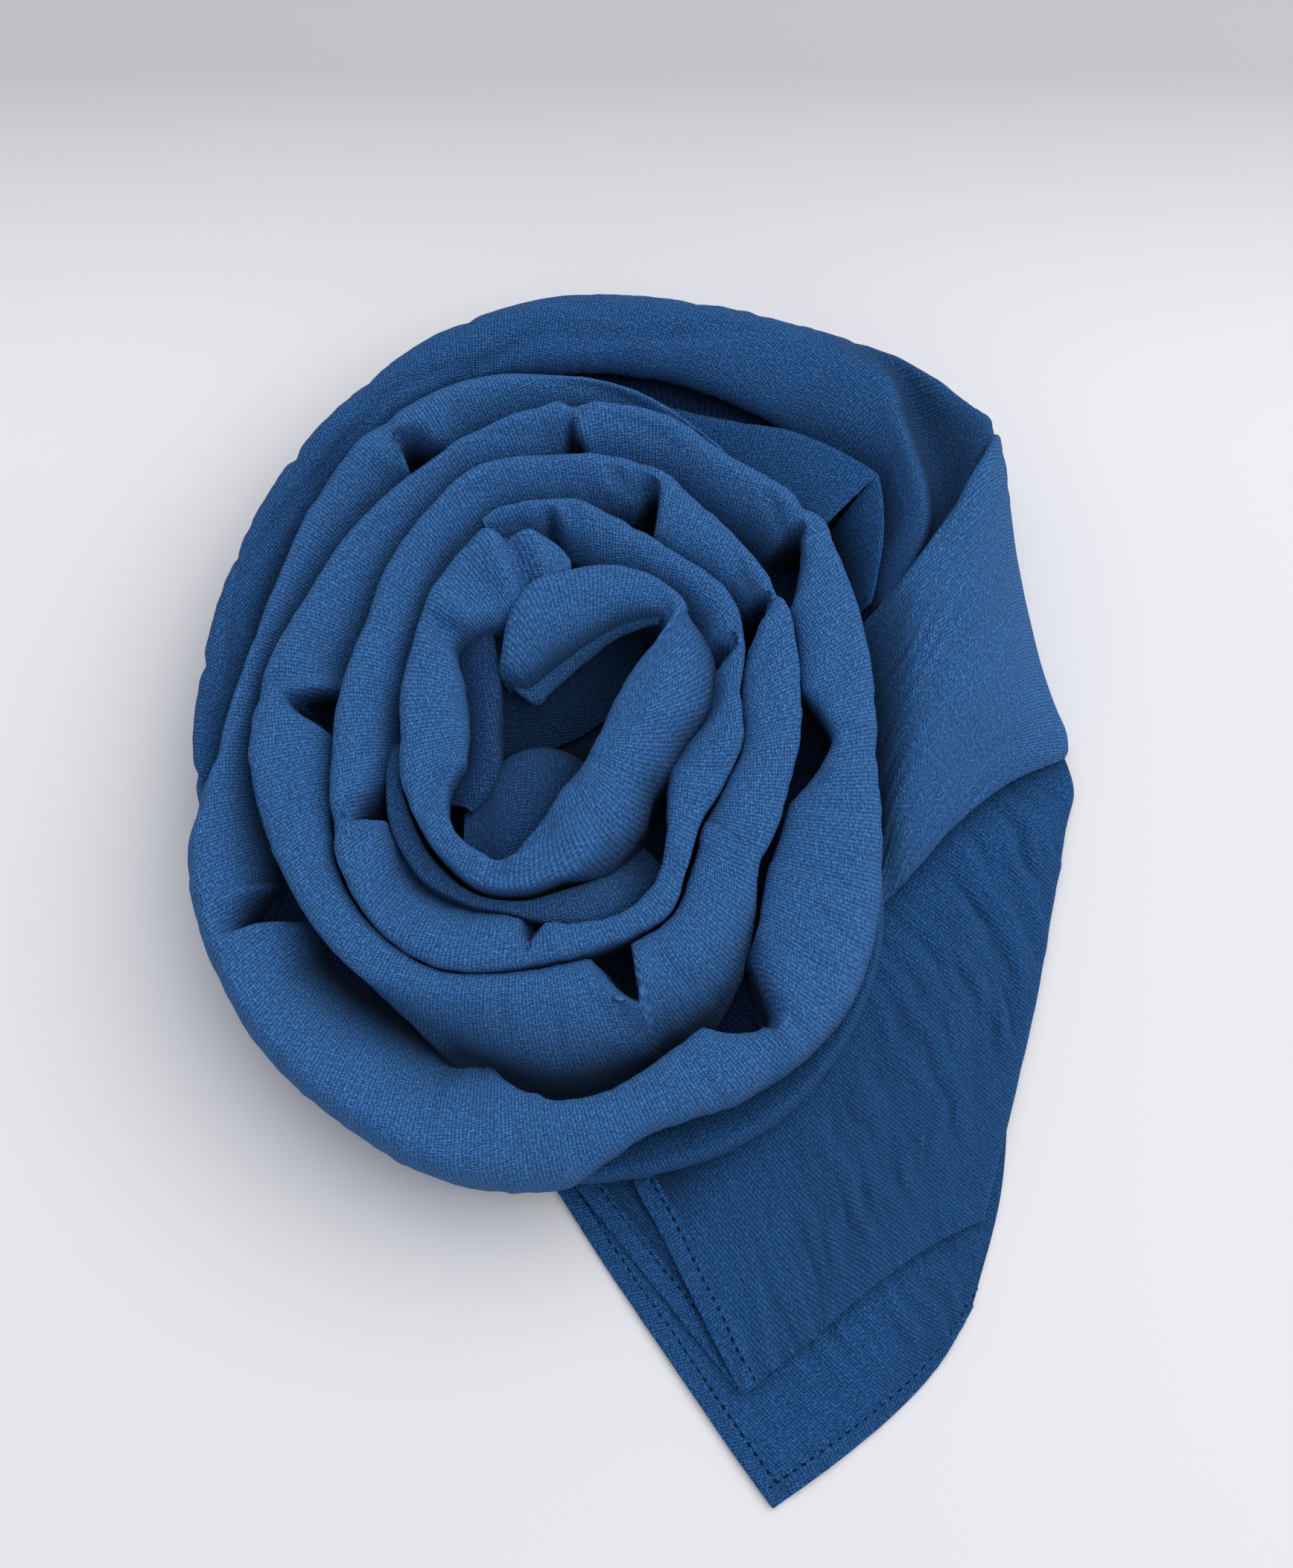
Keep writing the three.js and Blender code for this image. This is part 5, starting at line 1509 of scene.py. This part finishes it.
@dataclass
class Stitches:
    """Rows of running stitches, repeated along a line by Geometry Nodes. Sizes in millimetres."""

    # Most that a stitch is turned from its line, in radians
    JITTER = 0.12
    SEGMENTS, RINGS = 8, 6
    INPUTS = {"Pitch": "Float", "Length": "Float", "Width": "Float", "Seed": "Int", "Finish": "Material"}

    pitch: float = 3.0
    length: float = 2.1
    width: float = 0.9
    seed: int = 7

    @staticmethod
    def add(
        tree: bpy.types.NodeTree, kind: str, settings: dict | None = None, inputs: dict | None = None
    ) -> bpy.types.bpy_prop_collection:
        """Adds a node to the tree.

        Args:
            tree: the node tree.
            kind: the node's type.
            settings: its own properties, set first.
            inputs: values, or outputs of other nodes, by the names of its inputs.

        Returns:
            The node's outputs.
        """
        made = tree.nodes.new(kind)
        for key, value in (settings or {}).items():
            setattr(made, key, value)
        for name, value in (inputs or {}).items():
            if isinstance(value, bpy.types.NodeSocket):
                tree.links.new(value, made.inputs[name])
            else:
                made.inputs[name].default_value = value
        return made.outputs

    def tree(self) -> bpy.types.NodeTree:
        """Node tree that turns a line of edges into stitches.

        Returns:
            The tree, with an input for each of INPUTS after the geometry.
        """
        tree = bpy.data.node_groups.new("stitches", "GeometryNodeTree")
        for name, kind in {"Geometry": "Geometry", **self.INPUTS}.items():
            tree.interface.new_socket(name, in_out="INPUT", socket_type=f"NodeSocket{kind}")
        tree.interface.new_socket("Geometry", in_out="OUTPUT", socket_type="NodeSocketGeometry")
        given = self.add(tree, "NodeGroupInput")
        curve = self.add(tree, "GeometryNodeMeshToCurve", inputs={"Mesh": given["Geometry"]})
        spaced = self.add(
            tree, "GeometryNodeResampleCurve", {"mode": "LENGTH"},
            {"Curve": curve["Curve"], "Length": given["Pitch"]},
        )
        thread = self.add(
            tree, "GeometryNodeMeshUVSphere",
            inputs={"Segments": self.SEGMENTS, "Rings": self.RINGS, "Radius": 0.5},
        )
        size = self.add(
            tree, "ShaderNodeCombineXYZ",
            inputs={"X": given["Width"], "Y": given["Width"], "Z": given["Length"]},
        )
        tangent = self.add(tree, "GeometryNodeInputTangent")
        turned = self.add(
            tree, "FunctionNodeAlignRotationToVector", {"axis": "Z"}, {"Vector": tangent["Tangent"]}
        )
        limits = {"Min": (-self.JITTER, -self.JITTER, 0.0), "Max": (self.JITTER, self.JITTER, 0.0)}
        jitter = self.add(
            tree, "FunctionNodeRandomValue", {"data_type": "FLOAT_VECTOR"},
            {**limits, "Seed": given["Seed"]},
        )
        tilted = self.add(
            tree, "FunctionNodeRotateRotation", {"rotation_space": "LOCAL"},
            {"Rotation": turned["Rotation"], "Rotate By": jitter["Value"]},
        )
        placed = self.add(
            tree, "GeometryNodeInstanceOnPoints",
            inputs={
                "Points": spaced["Curve"], "Instance": thread["Mesh"],
                "Rotation": tilted["Rotation"], "Scale": size["Vector"],
            },
        )
        real = self.add(tree, "GeometryNodeRealizeInstances", inputs={"Geometry": placed["Instances"]})
        dressed = self.add(
            tree, "GeometryNodeSetMaterial",
            inputs={"Geometry": real["Geometry"], "Material": given["Finish"]},
        )
        self.add(tree, "NodeGroupOutput", inputs={"Geometry": dressed["Geometry"]})
        return tree

    def piece(self, name: str, lines: list[np.ndarray], finish: bpy.types.Material) -> bpy.types.Object:
        """One object with the stitches of all the lines.

        Args:
            name: the object's name.
            lines: the rows of stitches, as points in millimetres.
            finish: the thread's near-black material, painted shade of the pits that the stitches sink into.

        Returns:
            A plain mesh object.
        """
        ends = np.cumsum([0] + [len(line) for line in lines])
        edges = [(i, i + 1) for first, last in zip(ends[:-1], ends[1:]) for i in range(first, last - 1)]
        mesh = bpy.data.meshes.new(name)
        mesh.from_pydata((np.concatenate(lines) * MM).tolist(), edges, [])
        piece = bpy.data.objects.new(name, mesh)
        bpy.context.collection.objects.link(piece)
        tree = self.tree()
        modifier = piece.modifiers.new("stitches", "NODES")
        modifier.node_group = tree
        sizes = (self.pitch * MM, self.length * MM, self.width * MM)
        values = dict(zip(self.INPUTS, (*sizes, self.seed, finish)))
        for socket in tree.interface.items_tree:
            if socket.in_out == "INPUT" and socket.name in values:
                modifier[socket.identifier] = values[socket.name]
        evaluated = piece.evaluated_get(bpy.context.evaluated_depsgraph_get())
        plain = bpy.data.meshes.new_from_object(evaluated)
        piece.modifiers.remove(modifier)
        piece.data = plain
        plain.name = name
        return piece


@dataclass
class Panel:
    """A laid stretch of cloth through crosswise rows of named points, in millimetres.

    Its painted shade has a least value all over, with more beside the coil and a painted shadow below the
    fold that covers its first rows.
    Low cloth keeps the least part of its crinkles, and they grow from the rim at its right edge over the
    calm span.
    """

    # Painted shade beside the coil: the part of the width that is painted dark, where along the panel that
    # ends, and over what
    BESIDE, BESIDE_END, BESIDE_SPAN = 0.24, 0.72, 0.14
    # Painted shadow under the covering fold: where it starts to fade and over what distance
    UNDER, UNDER_SPAN, UNDER_CURVE = 9, 16, 1.5
    # The crinkles fade out towards the table from this height on, over this one
    STILL, STILL_SPAN = 0.6, 2.0
    # Least part of the crinkles at the right edge, and what the calm cloth is raised by
    EDGE_PART, RAISED = 0.06, 0.4
    # The wrinkles run along the panel; those that lean more than this run across it, with the cloth's streaks
    LENGTHWISE = 0.8

    name: str
    rows: tuple
    nodes: tuple[str, ...]
    seed: int
    across: int
    along: int
    crinkle: Crinkle
    thickness: float = 0.6
    rests_on: tuple[str, ...] = ("hidden_layers_cloth",)
    held: Hold = Hold.FOLDED
    hems: tuple[Edge, ...] = ()
    # Painted shade all over, beside the coil, and under the covering fold
    painted_shade_base: float = 0.0
    beside: float = 0.0
    under: float = 0.0
    least: float = 0.15
    calm: float = 20.0
    rim: float = 0.0

    def grid(self) -> tuple[Grid, np.ndarray, np.ndarray]:
        """Smooth form through the rows.

        Returns:
            Points in millimetres, distance along the panel, and distance across it.
        """
        controls = np.array(self.rows, dtype=float)
        across = np.stack([catmull(row, np.linspace(0, 1, self.across)) for row in controls])
        grid = catmull(across, np.linspace(0, 1, self.along))
        return grid, arc_lengths(grid, 0), arc_lengths(grid, 1)

    def shade(self, grid: Grid, along: np.ndarray) -> np.ndarray:
        """Painted shade of the panel.

        Args:
            grid: points of the smooth form.
            along: distance along it at each point.

        Returns:
            From 0 to 1 at each point.
        """
        across = np.linspace(0, 1, grid.shape[1])[None, :]
        place = along / along[-1:]
        inside = self.beside * np.clip(1 - across / self.BESIDE, 0, 1)
        inside = inside * np.clip((self.BESIDE_END - place) / self.BESIDE_SPAN, 0, 1)
        under = self.under * np.clip(1 - (along - self.UNDER) / self.UNDER_SPAN, 0, 1) ** self.UNDER_CURVE
        return np.clip(self.painted_shade_base + inside + under, 0, 1)

    def surface(self) -> tuple[Grid, np.ndarray, np.ndarray]:
        """The form with its crinkles; its painted shade is kept as depth.

        Returns:
            Points, distance across the cloth's streaks, and distance along them.
        """
        grid, u, v = self.grid()
        self.depth = self.shade(grid, u)
        normals = grid_normals(grid)
        if normals[self.along // 2, self.across // 2, 2] < 0:
            normals = -normals
        fade = np.clip((grid[:, :, 2] - self.STILL) / self.STILL_SPAN, self.least, 1)
        fade = fade * np.clip((v[:, -1:] - v - self.rim) / self.calm, self.EDGE_PART, 1)
        lift = (self.crinkle.lift(v, u, self.seed) + self.least * self.RAISED) * fade
        grid = grid + normals * lift[:, :, None]
        grid[:, :, 2] = np.maximum(grid[:, :, 2], FLOOR + self.thickness)
        return (grid, u, v) if self.crinkle.lean > self.LENGTHWISE else (grid, v, u)


# The start hem's section below the crown's lip: distance from the lip, outwards, and height over it
START_HEM_SECTION = (
    (2.4, -4.6), (0.2, -6.2), (-1.9, -7.2), (-3.6, -8.6),
    (-4.7, -10.2), (-4.9, -11.6), (-3.6, -12.6), (0, -13),
)


@dataclass
class StartHem:
    """The scarf's own hem at the start of the winding, a narrow roll below the crown's lip."""

    # The crown's usual height, and how far the hem keeps to it where the lip lies lower
    LEVEL, LEVEL_PART = 59, 0.35
    # Its size: least, growth, and the parts of its length over which it grows at both ends
    SMALL, GROWTH, HEAD, TAIL, GROWTH_CURVE = 0.25, 0.65, 0.3, 0.1, 0.6
    FLATTENED = 0.8
    # Painted shade below the crown's lip: how dark it is, what its foot adds and by which power
    DARK, DARK_FOOT, DARK_CURVE = 0.3, 0.4, 4

    crown: Stretch
    first: float = 411.0
    last: float = 490.0
    stations: int = 110
    across: int = 26
    thickness: float = 0.5

    def surface(self) -> tuple[Grid, np.ndarray, np.ndarray]:
        """The roll along the crown's lip; its painted shade is kept as depth.

        Returns:
            Points, distance along the hem, and distance across it.
        """
        bearings = np.linspace(self.first, self.last, self.stations)
        radii, heights = self.crown.section_points(bearings)
        lip = self.crown.leg_points - 1
        lip_radius, lip_height = radii[:, lip][:, None], heights[:, lip][:, None]
        section = catmull(np.array(START_HEM_SECTION), np.linspace(0, 1, self.across))
        place = np.linspace(0, 1, self.stations)[:, None]
        grown = np.clip(np.minimum(place / self.HEAD, (1 - place) / self.TAIL), 0, 1) ** self.GROWTH_CURVE
        size = self.SMALL + self.GROWTH * grown
        radius = lip_radius + section[None, :, 0] * size
        level = lip_height + self.LEVEL_PART * (self.LEVEL - lip_height)
        z = level + section[None, :, 1] * size * self.FLATTENED
        angle = np.radians(bearings)[:, None]
        grid = np.stack([radius * np.cos(angle), radius * np.sin(angle), z], axis=2)
        foot = np.linspace(0, 1, self.across)[None, :] ** self.DARK_CURVE
        self.depth = np.full(grid.shape[:2], self.DARK) + self.DARK_FOOT * foot
        u, v = arc_lengths(grid, 0), arc_lengths(grid, 1)
        lift = ROLLED.lift(u, v, 233)
        return grid + grid_normals(grid) * lift[:, :, None], u, v


@dataclass
class TopWrap(Stretch):
    """The outermost stretch over the back: arches round the coil that end in the curl at the right."""

    # Stations over which the curl's painted shade grows, the valley's painted shade, and its place across
    CURL_GROWTH, VALLEY = 20, 0.6
    VALLEY_START, VALLEY_END, VALLEY_SPAN = 0.5, 0.83, 0.1

    curl: tuple = CURL_ROWS
    joint: float = 62.0
    lead: float = 70.0
    curl_stations: int = 80

    def grid(self) -> tuple[Grid, np.ndarray, np.ndarray]:
        """The arches from the left end to the joint, and then the curl through its rows.

        Returns:
            Points in millimetres, distance along the scarf, and distance across it from the crest.
        """
        bearings = self.bearings(Sections(self.rows))
        arches = self.arch_points(bearings[bearings > self.joint][::-1])
        controls = [self.arch_points(np.array([place]))[0] for place in (self.lead, self.joint)]
        fractions = np.linspace(0, 1, arches.shape[1])
        curl = np.stack(controls + [catmull(np.array(row, dtype=float), fractions) for row in self.curl])
        places = np.linspace(1 / (len(curl) - 1), 1, self.curl_stations)
        grid = np.concatenate([arches, catmull(curl, places)])
        u = arc_lengths(grid, 0)[:, self.crest][:, None] * np.ones(grid.shape[:2])
        v = arc_lengths(grid, 1)
        self.stations = u[:, 0]
        return grid, u, v - v[:, self.crest][:, None]

    def shade(self, grid: Grid) -> np.ndarray:
        """Darkens the crevice at the inner side, and the curl's valley, which faces away from the light.

        Args:
            grid: points of the smooth form.

        Returns:
            From 0 to 1 at each point.
        """
        depth = super().shade(grid)
        across = np.linspace(0, 1, grid.shape[1])[None, :]
        station = np.arange(len(grid)) - len(grid) + self.curl_stations
        along = np.clip(station / self.CURL_GROWTH, 0, 1)[:, None]
        start = np.clip((across - self.VALLEY_START) / self.VALLEY_SPAN, 0, 1)
        end = np.clip((self.VALLEY_END - across) / self.VALLEY_SPAN, 0, 1)
        valley = self.VALLEY * start * end * along
        return np.maximum(depth * (1 - along * (across > self.VALLEY_START)), valley)

    def surface(self) -> tuple[Grid, np.ndarray, np.ndarray]:
        """The form with its crinkles, from the curl to the left end; its painted shade is kept as depth.

        Returns:
            Points, distance along the scarf, and distance across it.
        """
        grid, u, v = self.grid()
        self.depth = self.shade(grid)[::-1]
        grid = self.wrinkled(grid, -grid_normals(grid), u, v)
        return grid[::-1], u[::-1], v[::-1]


class Scarf:
    """The whole headscarf: its turns, panels, hems and hidden heap."""

    def __init__(self) -> None:
        """Makes the finishes: lighter and darker copies of one crepe that paint light and shade, and the
        thread.
        """
        # One crepe in copies: the lightest paints light on the coil and side wrap; darker ones paint shade on
        # the top wrap, the tail and its hems, the hollow, corner and under layers, and the well
        self.crepe = CrepeFinish("crepe_painted_light").build()
        self.middle = CrepeFinish("crepe_painted_half_shade", (0.018, 0.077, 0.218)).build()
        rumpled = {"streak": 0.5, "crinkle_height": 0.0011}
        self.deep = CrepeFinish("crepe_painted_shade", (0.0135, 0.069, 0.2), **rumpled).build()
        self.inside = CrepeFinish("crepe_inside", (0.0125, 0.05, 0.145), sheen=0.08).build()
        # Near black: painted shade on the hidden layers that show deep between the turns
        self.hidden = CrepeFinish("crepe_painted_dark_shade", (0.004, 0.016, 0.05), sheen=0.03).build()
        # Near black: the stitches paint the shade of the pits that they sink into
        self.thread = CrepeFinish("thread", (0.0016, 0.008, 0.026), sheen=0.0, painted_shade_strength=0.0).build()

    def stretches(self) -> list[Stretch]:
        """The winding's stretches from the outside inwards.

        Returns:
            The stretches that are arches of cloth.
        """
        winding = {"seed": 11, "pockets": POCKETS, "creases": SPIRAL_CREASES, "crinkle": WRINKLED}
        under = ((0, 1),)
        return [
            Stretch(
                "outer_turn_cloth", SPIRAL_ROWS, ("outer_turn",), stop=345,
                inner_dive=(
                    (70, 1), (108, 1), (119, 0.6), (122, 1), (204, 1), (214, 0.5),
                    (220, 1), (250, 1), (262, 0),
                ),
                **winding,
            ),
            Stretch(
                "second_turn_cloth", SPIRAL_ROWS, ("second_turn",), start=345, stop=690,
                inner_dive=(
                    (388, 0), (402, 0), (405, 1), (446, 1), (447, 0),
                    (450, 1), (520, 1), (531, 0.2), (550, 0.2), (600, 0),
                ),
                outer_dive=((590, 0), (610, 1), (650, 1), (672, 0.6), (690, 0)),
                **winding,
            ),
            Stretch(
                "third_turn_cloth", SPIRAL_ROWS, ("third_turn",), start=690, stop=1035,
                inner_dive=(
                    (690, 0.3), (745, 0.2), (757, 0.2), (759, 1), (787, 0.2), (791, 1), (830, 1),
                    (850, 0.7), (915, 0.7), (925, 0.2), (940, 1), (960, 0.6), (990, 0),
                ),
                **winding,
            ),
            Stretch(
                "fourth_turn_cloth", SPIRAL_ROWS, ("fourth_turn",), start=1035,
                inner_dive=((1035, 0), (1100, 0.7), (1190, 0.8)),
                **winding,
            ),
            # The end of the fourth turn is painted in shade all over
            Stretch("fourth_turn_end_cloth", FOURTH_END_ROWS, ("fourth_turn_end",), 53, painted_shade_base=0.42),
            Stretch(
                "inner_turn_cloth", INNER_ROWS, ("inner_turn",), 61, creases=INNER_CREASES,
                inner_dive=((88, 0.3), (125, 0.3), (140, 0.3), (200, 0), (400, 0), (415, 0.3), (480, 0.3)),
                outer_dive=((270, 0), (290, 0.7), (395, 0.7), (418, 0)),
            ),
            TopWrap(
                "top_wrap_cloth", TOP_WRAP_ROWS, ("top_wrap",), 97, fullness=2.2,
                inner_dive=((0, 0.5), (60, 0.2), (112, 0.1), (125, 0.8), (190, 1)),
                creases=WRAP_CREASES, crinkle=WRINKLED,
            ),
            Stretch("hollow_layer_cloth", HOLLOW_ROWS, ("hollow_layer",), 101, inner_dive=under),
            Stretch("corner_flap_cloth", CORNER_ROWS, ("corner_flap",), 113, inner_dive=under),
            Stretch("under_turn_cloth", UNDER_ROWS, ("under_turn",), 127, inner_dive=under),
        ]

    def panels(self) -> list[Panel]:
        """The laid panels.

        Returns:
            The folds in the well, the side wrap and the layers of the tail.
        """
        return [
            # The well's cloth is painted in shade; so are the side wrap beside the coil, the tail's top under
            # the side wrap's fold and the tail's middle layer
            Panel("well_layer_cloth", WELL_LAYER_ROWS, ("well_layer",), 71, 30, 40, SMOOTH, painted_shade_base=0.15),
            Panel("well_fold_cloth", WELL_FOLD_ROWS, ("well_fold",), 83, 40, 40, SMOOTH, painted_shade_base=0.1),
            Panel("well_back_cloth", WELL_BACK_ROWS, (), 89, 40, 40, SMOOTH, painted_shade_base=0.45),
            Panel(
                "side_wrap_cloth", SIDE_WRAP_ROWS, ("side_wrap",), 131, 150, 190, DRAWN_IN,
                rests_on=("hidden_layers_cloth", "tail_top_cloth"), held=Hold.DRAPED, beside=0.6, rim=22.0,
            ),
            Panel(
                "tail_top_cloth", TAIL_TOP_ROWS, ("tail_top",), 149, 150, 170, RUMPLED,
                rests_on=("tail_middle_cloth",), held=Hold.LAID, hems=(Edge.LEFT,), under=0.6,
            ),
            Panel(
                "tail_middle_cloth", TAIL_MIDDLE_ROWS, ("tail_middle",), 151, 90, 90, RUMPLED,
                rests_on=("tail_bottom_cloth",), held=Hold.LAID, hems=(Edge.LEFT,), painted_shade_base=0.35,
            ),
            Panel(
                "tail_bottom_cloth", TAIL_BOTTOM_ROWS, ("tail_bottom",), 163, 140, 130, RUMPLED,
                rests_on=(), held=Hold.LAID, hems=(Edge.LEFT, Edge.END), least=0.8, calm=8.0,
            ),
        ]

    def finish_of(self, name: str) -> tuple[bpy.types.Material, Slot]:
        """Finish and slot of a piece: darker copies of the crepe paint shade on the layers that lie deeper.

        Args:
            name: the piece's name.

        Returns:
            Its material, and its slot in the record.
        """
        if name.startswith(("tail", "under", "hollow", "corner")):
            return self.deep, Slot.SHADED
        if name.startswith("well"):
            return self.inside, Slot.SHADED
        if name.startswith("top_wrap"):
            return self.middle, Slot.CREPE
        return self.crepe, Slot.CREPE

    def sew(self, panel: Panel, grid: Grid) -> list[bpy.types.Object]:
        """Hems and stitches of a panel.

        Args:
            panel: the panel, with one hem or more.
            grid: its finished points.

        Returns:
            The hems' pieces and the piece with their stitches.
        """
        pieces, lines = [], []
        for edge in panel.hems:
            hem = Hem(panel.name.removesuffix("_cloth"), edge)
            piece = mesh_piece(f"{hem.name}_cloth", *hem.surface(grid))
            thicken(piece, hem.thickness)
            declare(piece, self.deep, (hem.name,))
            pieces.append(piece)
            lines.append(hem.seam_line(grid))
        stitches = Stitches().piece(panel.name.replace("_cloth", "_stitches"), lines, self.thread)
        declare(stitches, self.thread, ())
        return [*pieces, stitches]

    def build(self) -> None:
        """Makes and declares every piece."""
        heap = Heap()
        piece = mesh_piece(heap.name, *heap.surface(), closed=True)
        thicken(piece, heap.thickness)
        declare(piece, self.hidden, ("hidden_layers",))
        stretches = self.stretches()
        crown = next(stretch for stretch in stretches if stretch.name == "inner_turn_cloth")
        start = StartHem(crown)
        start_hem = mesh_piece("start_hem_cloth", *start.surface(), start.depth)
        thicken(start_hem, start.thickness)
        declare(start_hem, self.crepe, ("start_hem",))
        for stretch in [*stretches, *self.panels()]:
            grid, u, v = stretch.surface()
            piece = mesh_piece(stretch.name, grid, u, v, stretch.depth)
            thicken(piece, stretch.thickness)
            finish, slot = self.finish_of(stretch.name)
            declare(piece, finish, stretch.nodes)
            sewn = self.sew(stretch, grid) if getattr(stretch, "hems", ()) else []
            if stretch is crown:
                sewn = [start_hem]
            flat, area = flat_size(grid), surface_area(grid)
            log.info("%s flat %s m, %.4f m2", stretch.name, flat, area)


@dataclass
class Camera:
    """The photo's camera, in front of the scarf and high above the table. Lengths in millimetres."""

    # The lens is worked out from the photo's height and the focal length that fits it, both in its pixels
    PHOTO_HEIGHT, FOCAL_LENGTH = 2106, 3588

    target: tuple[float, float, float] = (22.5, 1.9, 0.0)
    elevation: float = 76.0
    distance: float = 780.0
    sensor: float = 36.0

    def build(self) -> None:
        """Makes the camera and gives it to the scene."""
        elevation = math.radians(self.elevation)
        direction = np.array([0, -math.cos(elevation), math.sin(elevation)])
        data = bpy.data.cameras.new("camera")
        data.sensor_fit = "VERTICAL"
        data.sensor_height = self.sensor
        data.lens = self.sensor * self.FOCAL_LENGTH / self.PHOTO_HEIGHT
        data.clip_start, data.clip_end = 0.01, 20.0
        eye = bpy.data.objects.new("camera", data)
        eye.location = (np.array(self.target) + self.distance * direction) * MM
        eye.rotation_euler = (math.pi / 2 - elevation, 0, 0)
        bpy.context.collection.objects.link(eye)
        bpy.context.scene.camera = eye


@dataclass
class Studio:
    """Pale table, one soft light from the upper right and a dim sky. Lengths in metres."""

    TABLE_NEAR = (0.74, 0.745, 0.77, 1)
    # The far tone is painted shade towards the back of the table
    TABLE_FAR = (0.36, 0.365, 0.39, 1)
    SKY = (0.95, 0.96, 1.0, 1)

    half_table: float = 2.0
    # Where the painted shade on the table starts, how fast it grows and its most
    dim_from: float = 0.1
    dim_rate: float = 7.6
    dim_most: float = 0.7
    light_place: tuple[float, float, float] = (0.75, 0.42, 1.9)
    light_size: float = 2.7
    light_power: float = 47.0
    light_colour: tuple[float, float, float] = (1.0, 0.985, 0.98)
    sky_strength: float = 0.5

    def table(self) -> None:
        """The floor, with painted shade that grows behind the scarf."""
        half = self.half_table
        corners = [(-half, -half, 0), (half, -half, 0), (half, half, 0), (-half, half, 0)]
        mesh = bpy.data.meshes.new("table")
        mesh.from_pydata(corners, [], [(0, 1, 2, 3)])
        table = bpy.data.objects.new("table", mesh)
        bpy.context.collection.objects.link(table)
        finish = Nodes("table_pale")
        place = finish.node("ShaderNodeTexCoord", output="Object")
        back = finish.node("ShaderNodeSeparateXYZ", values=(place,), output=1)
        shade = ((back - self.dim_from) * self.dim_rate).clamped()
        tone = finish.mix(shade * shade * self.dim_most, self.TABLE_NEAR, self.TABLE_FAR)
        mesh.materials.append(finish.surface(Base_Color=tone, Roughness=0.8, Specular_IOR_Level=0.2))

    def light(self) -> None:
        """The square light, which looks at the scarf's middle, and the sky."""
        data = bpy.data.lights.new("key", "AREA")
        data.shape, data.size = "SQUARE", self.light_size
        data.energy, data.color = self.light_power, self.light_colour
        lamp = bpy.data.objects.new("key", data)
        lamp.location = self.light_place
        lamp.rotation_euler = (-Vector(self.light_place)).to_track_quat("-Z", "Y").to_euler()
        bpy.context.collection.objects.link(lamp)
        world = bpy.data.worlds.new("studio")
        world.use_nodes = True
        background = world.node_tree.nodes["Background"]
        background.inputs["Color"].default_value = self.SKY
        background.inputs["Strength"].default_value = self.sky_strength
        bpy.context.scene.world = world
        bpy.context.scene.view_settings.view_transform = "Standard"

    def build(self) -> None:
        """Makes the table and the lights."""
        self.table()
        self.light()


def main() -> None:
    """Builds the scarf and its stage."""
    logging.basicConfig(level=logging.INFO, format="%(name)s: %(message)s")
    Camera().build()
    Studio().build()
    Scarf().build()


if __name__ == "__main__":
    main()
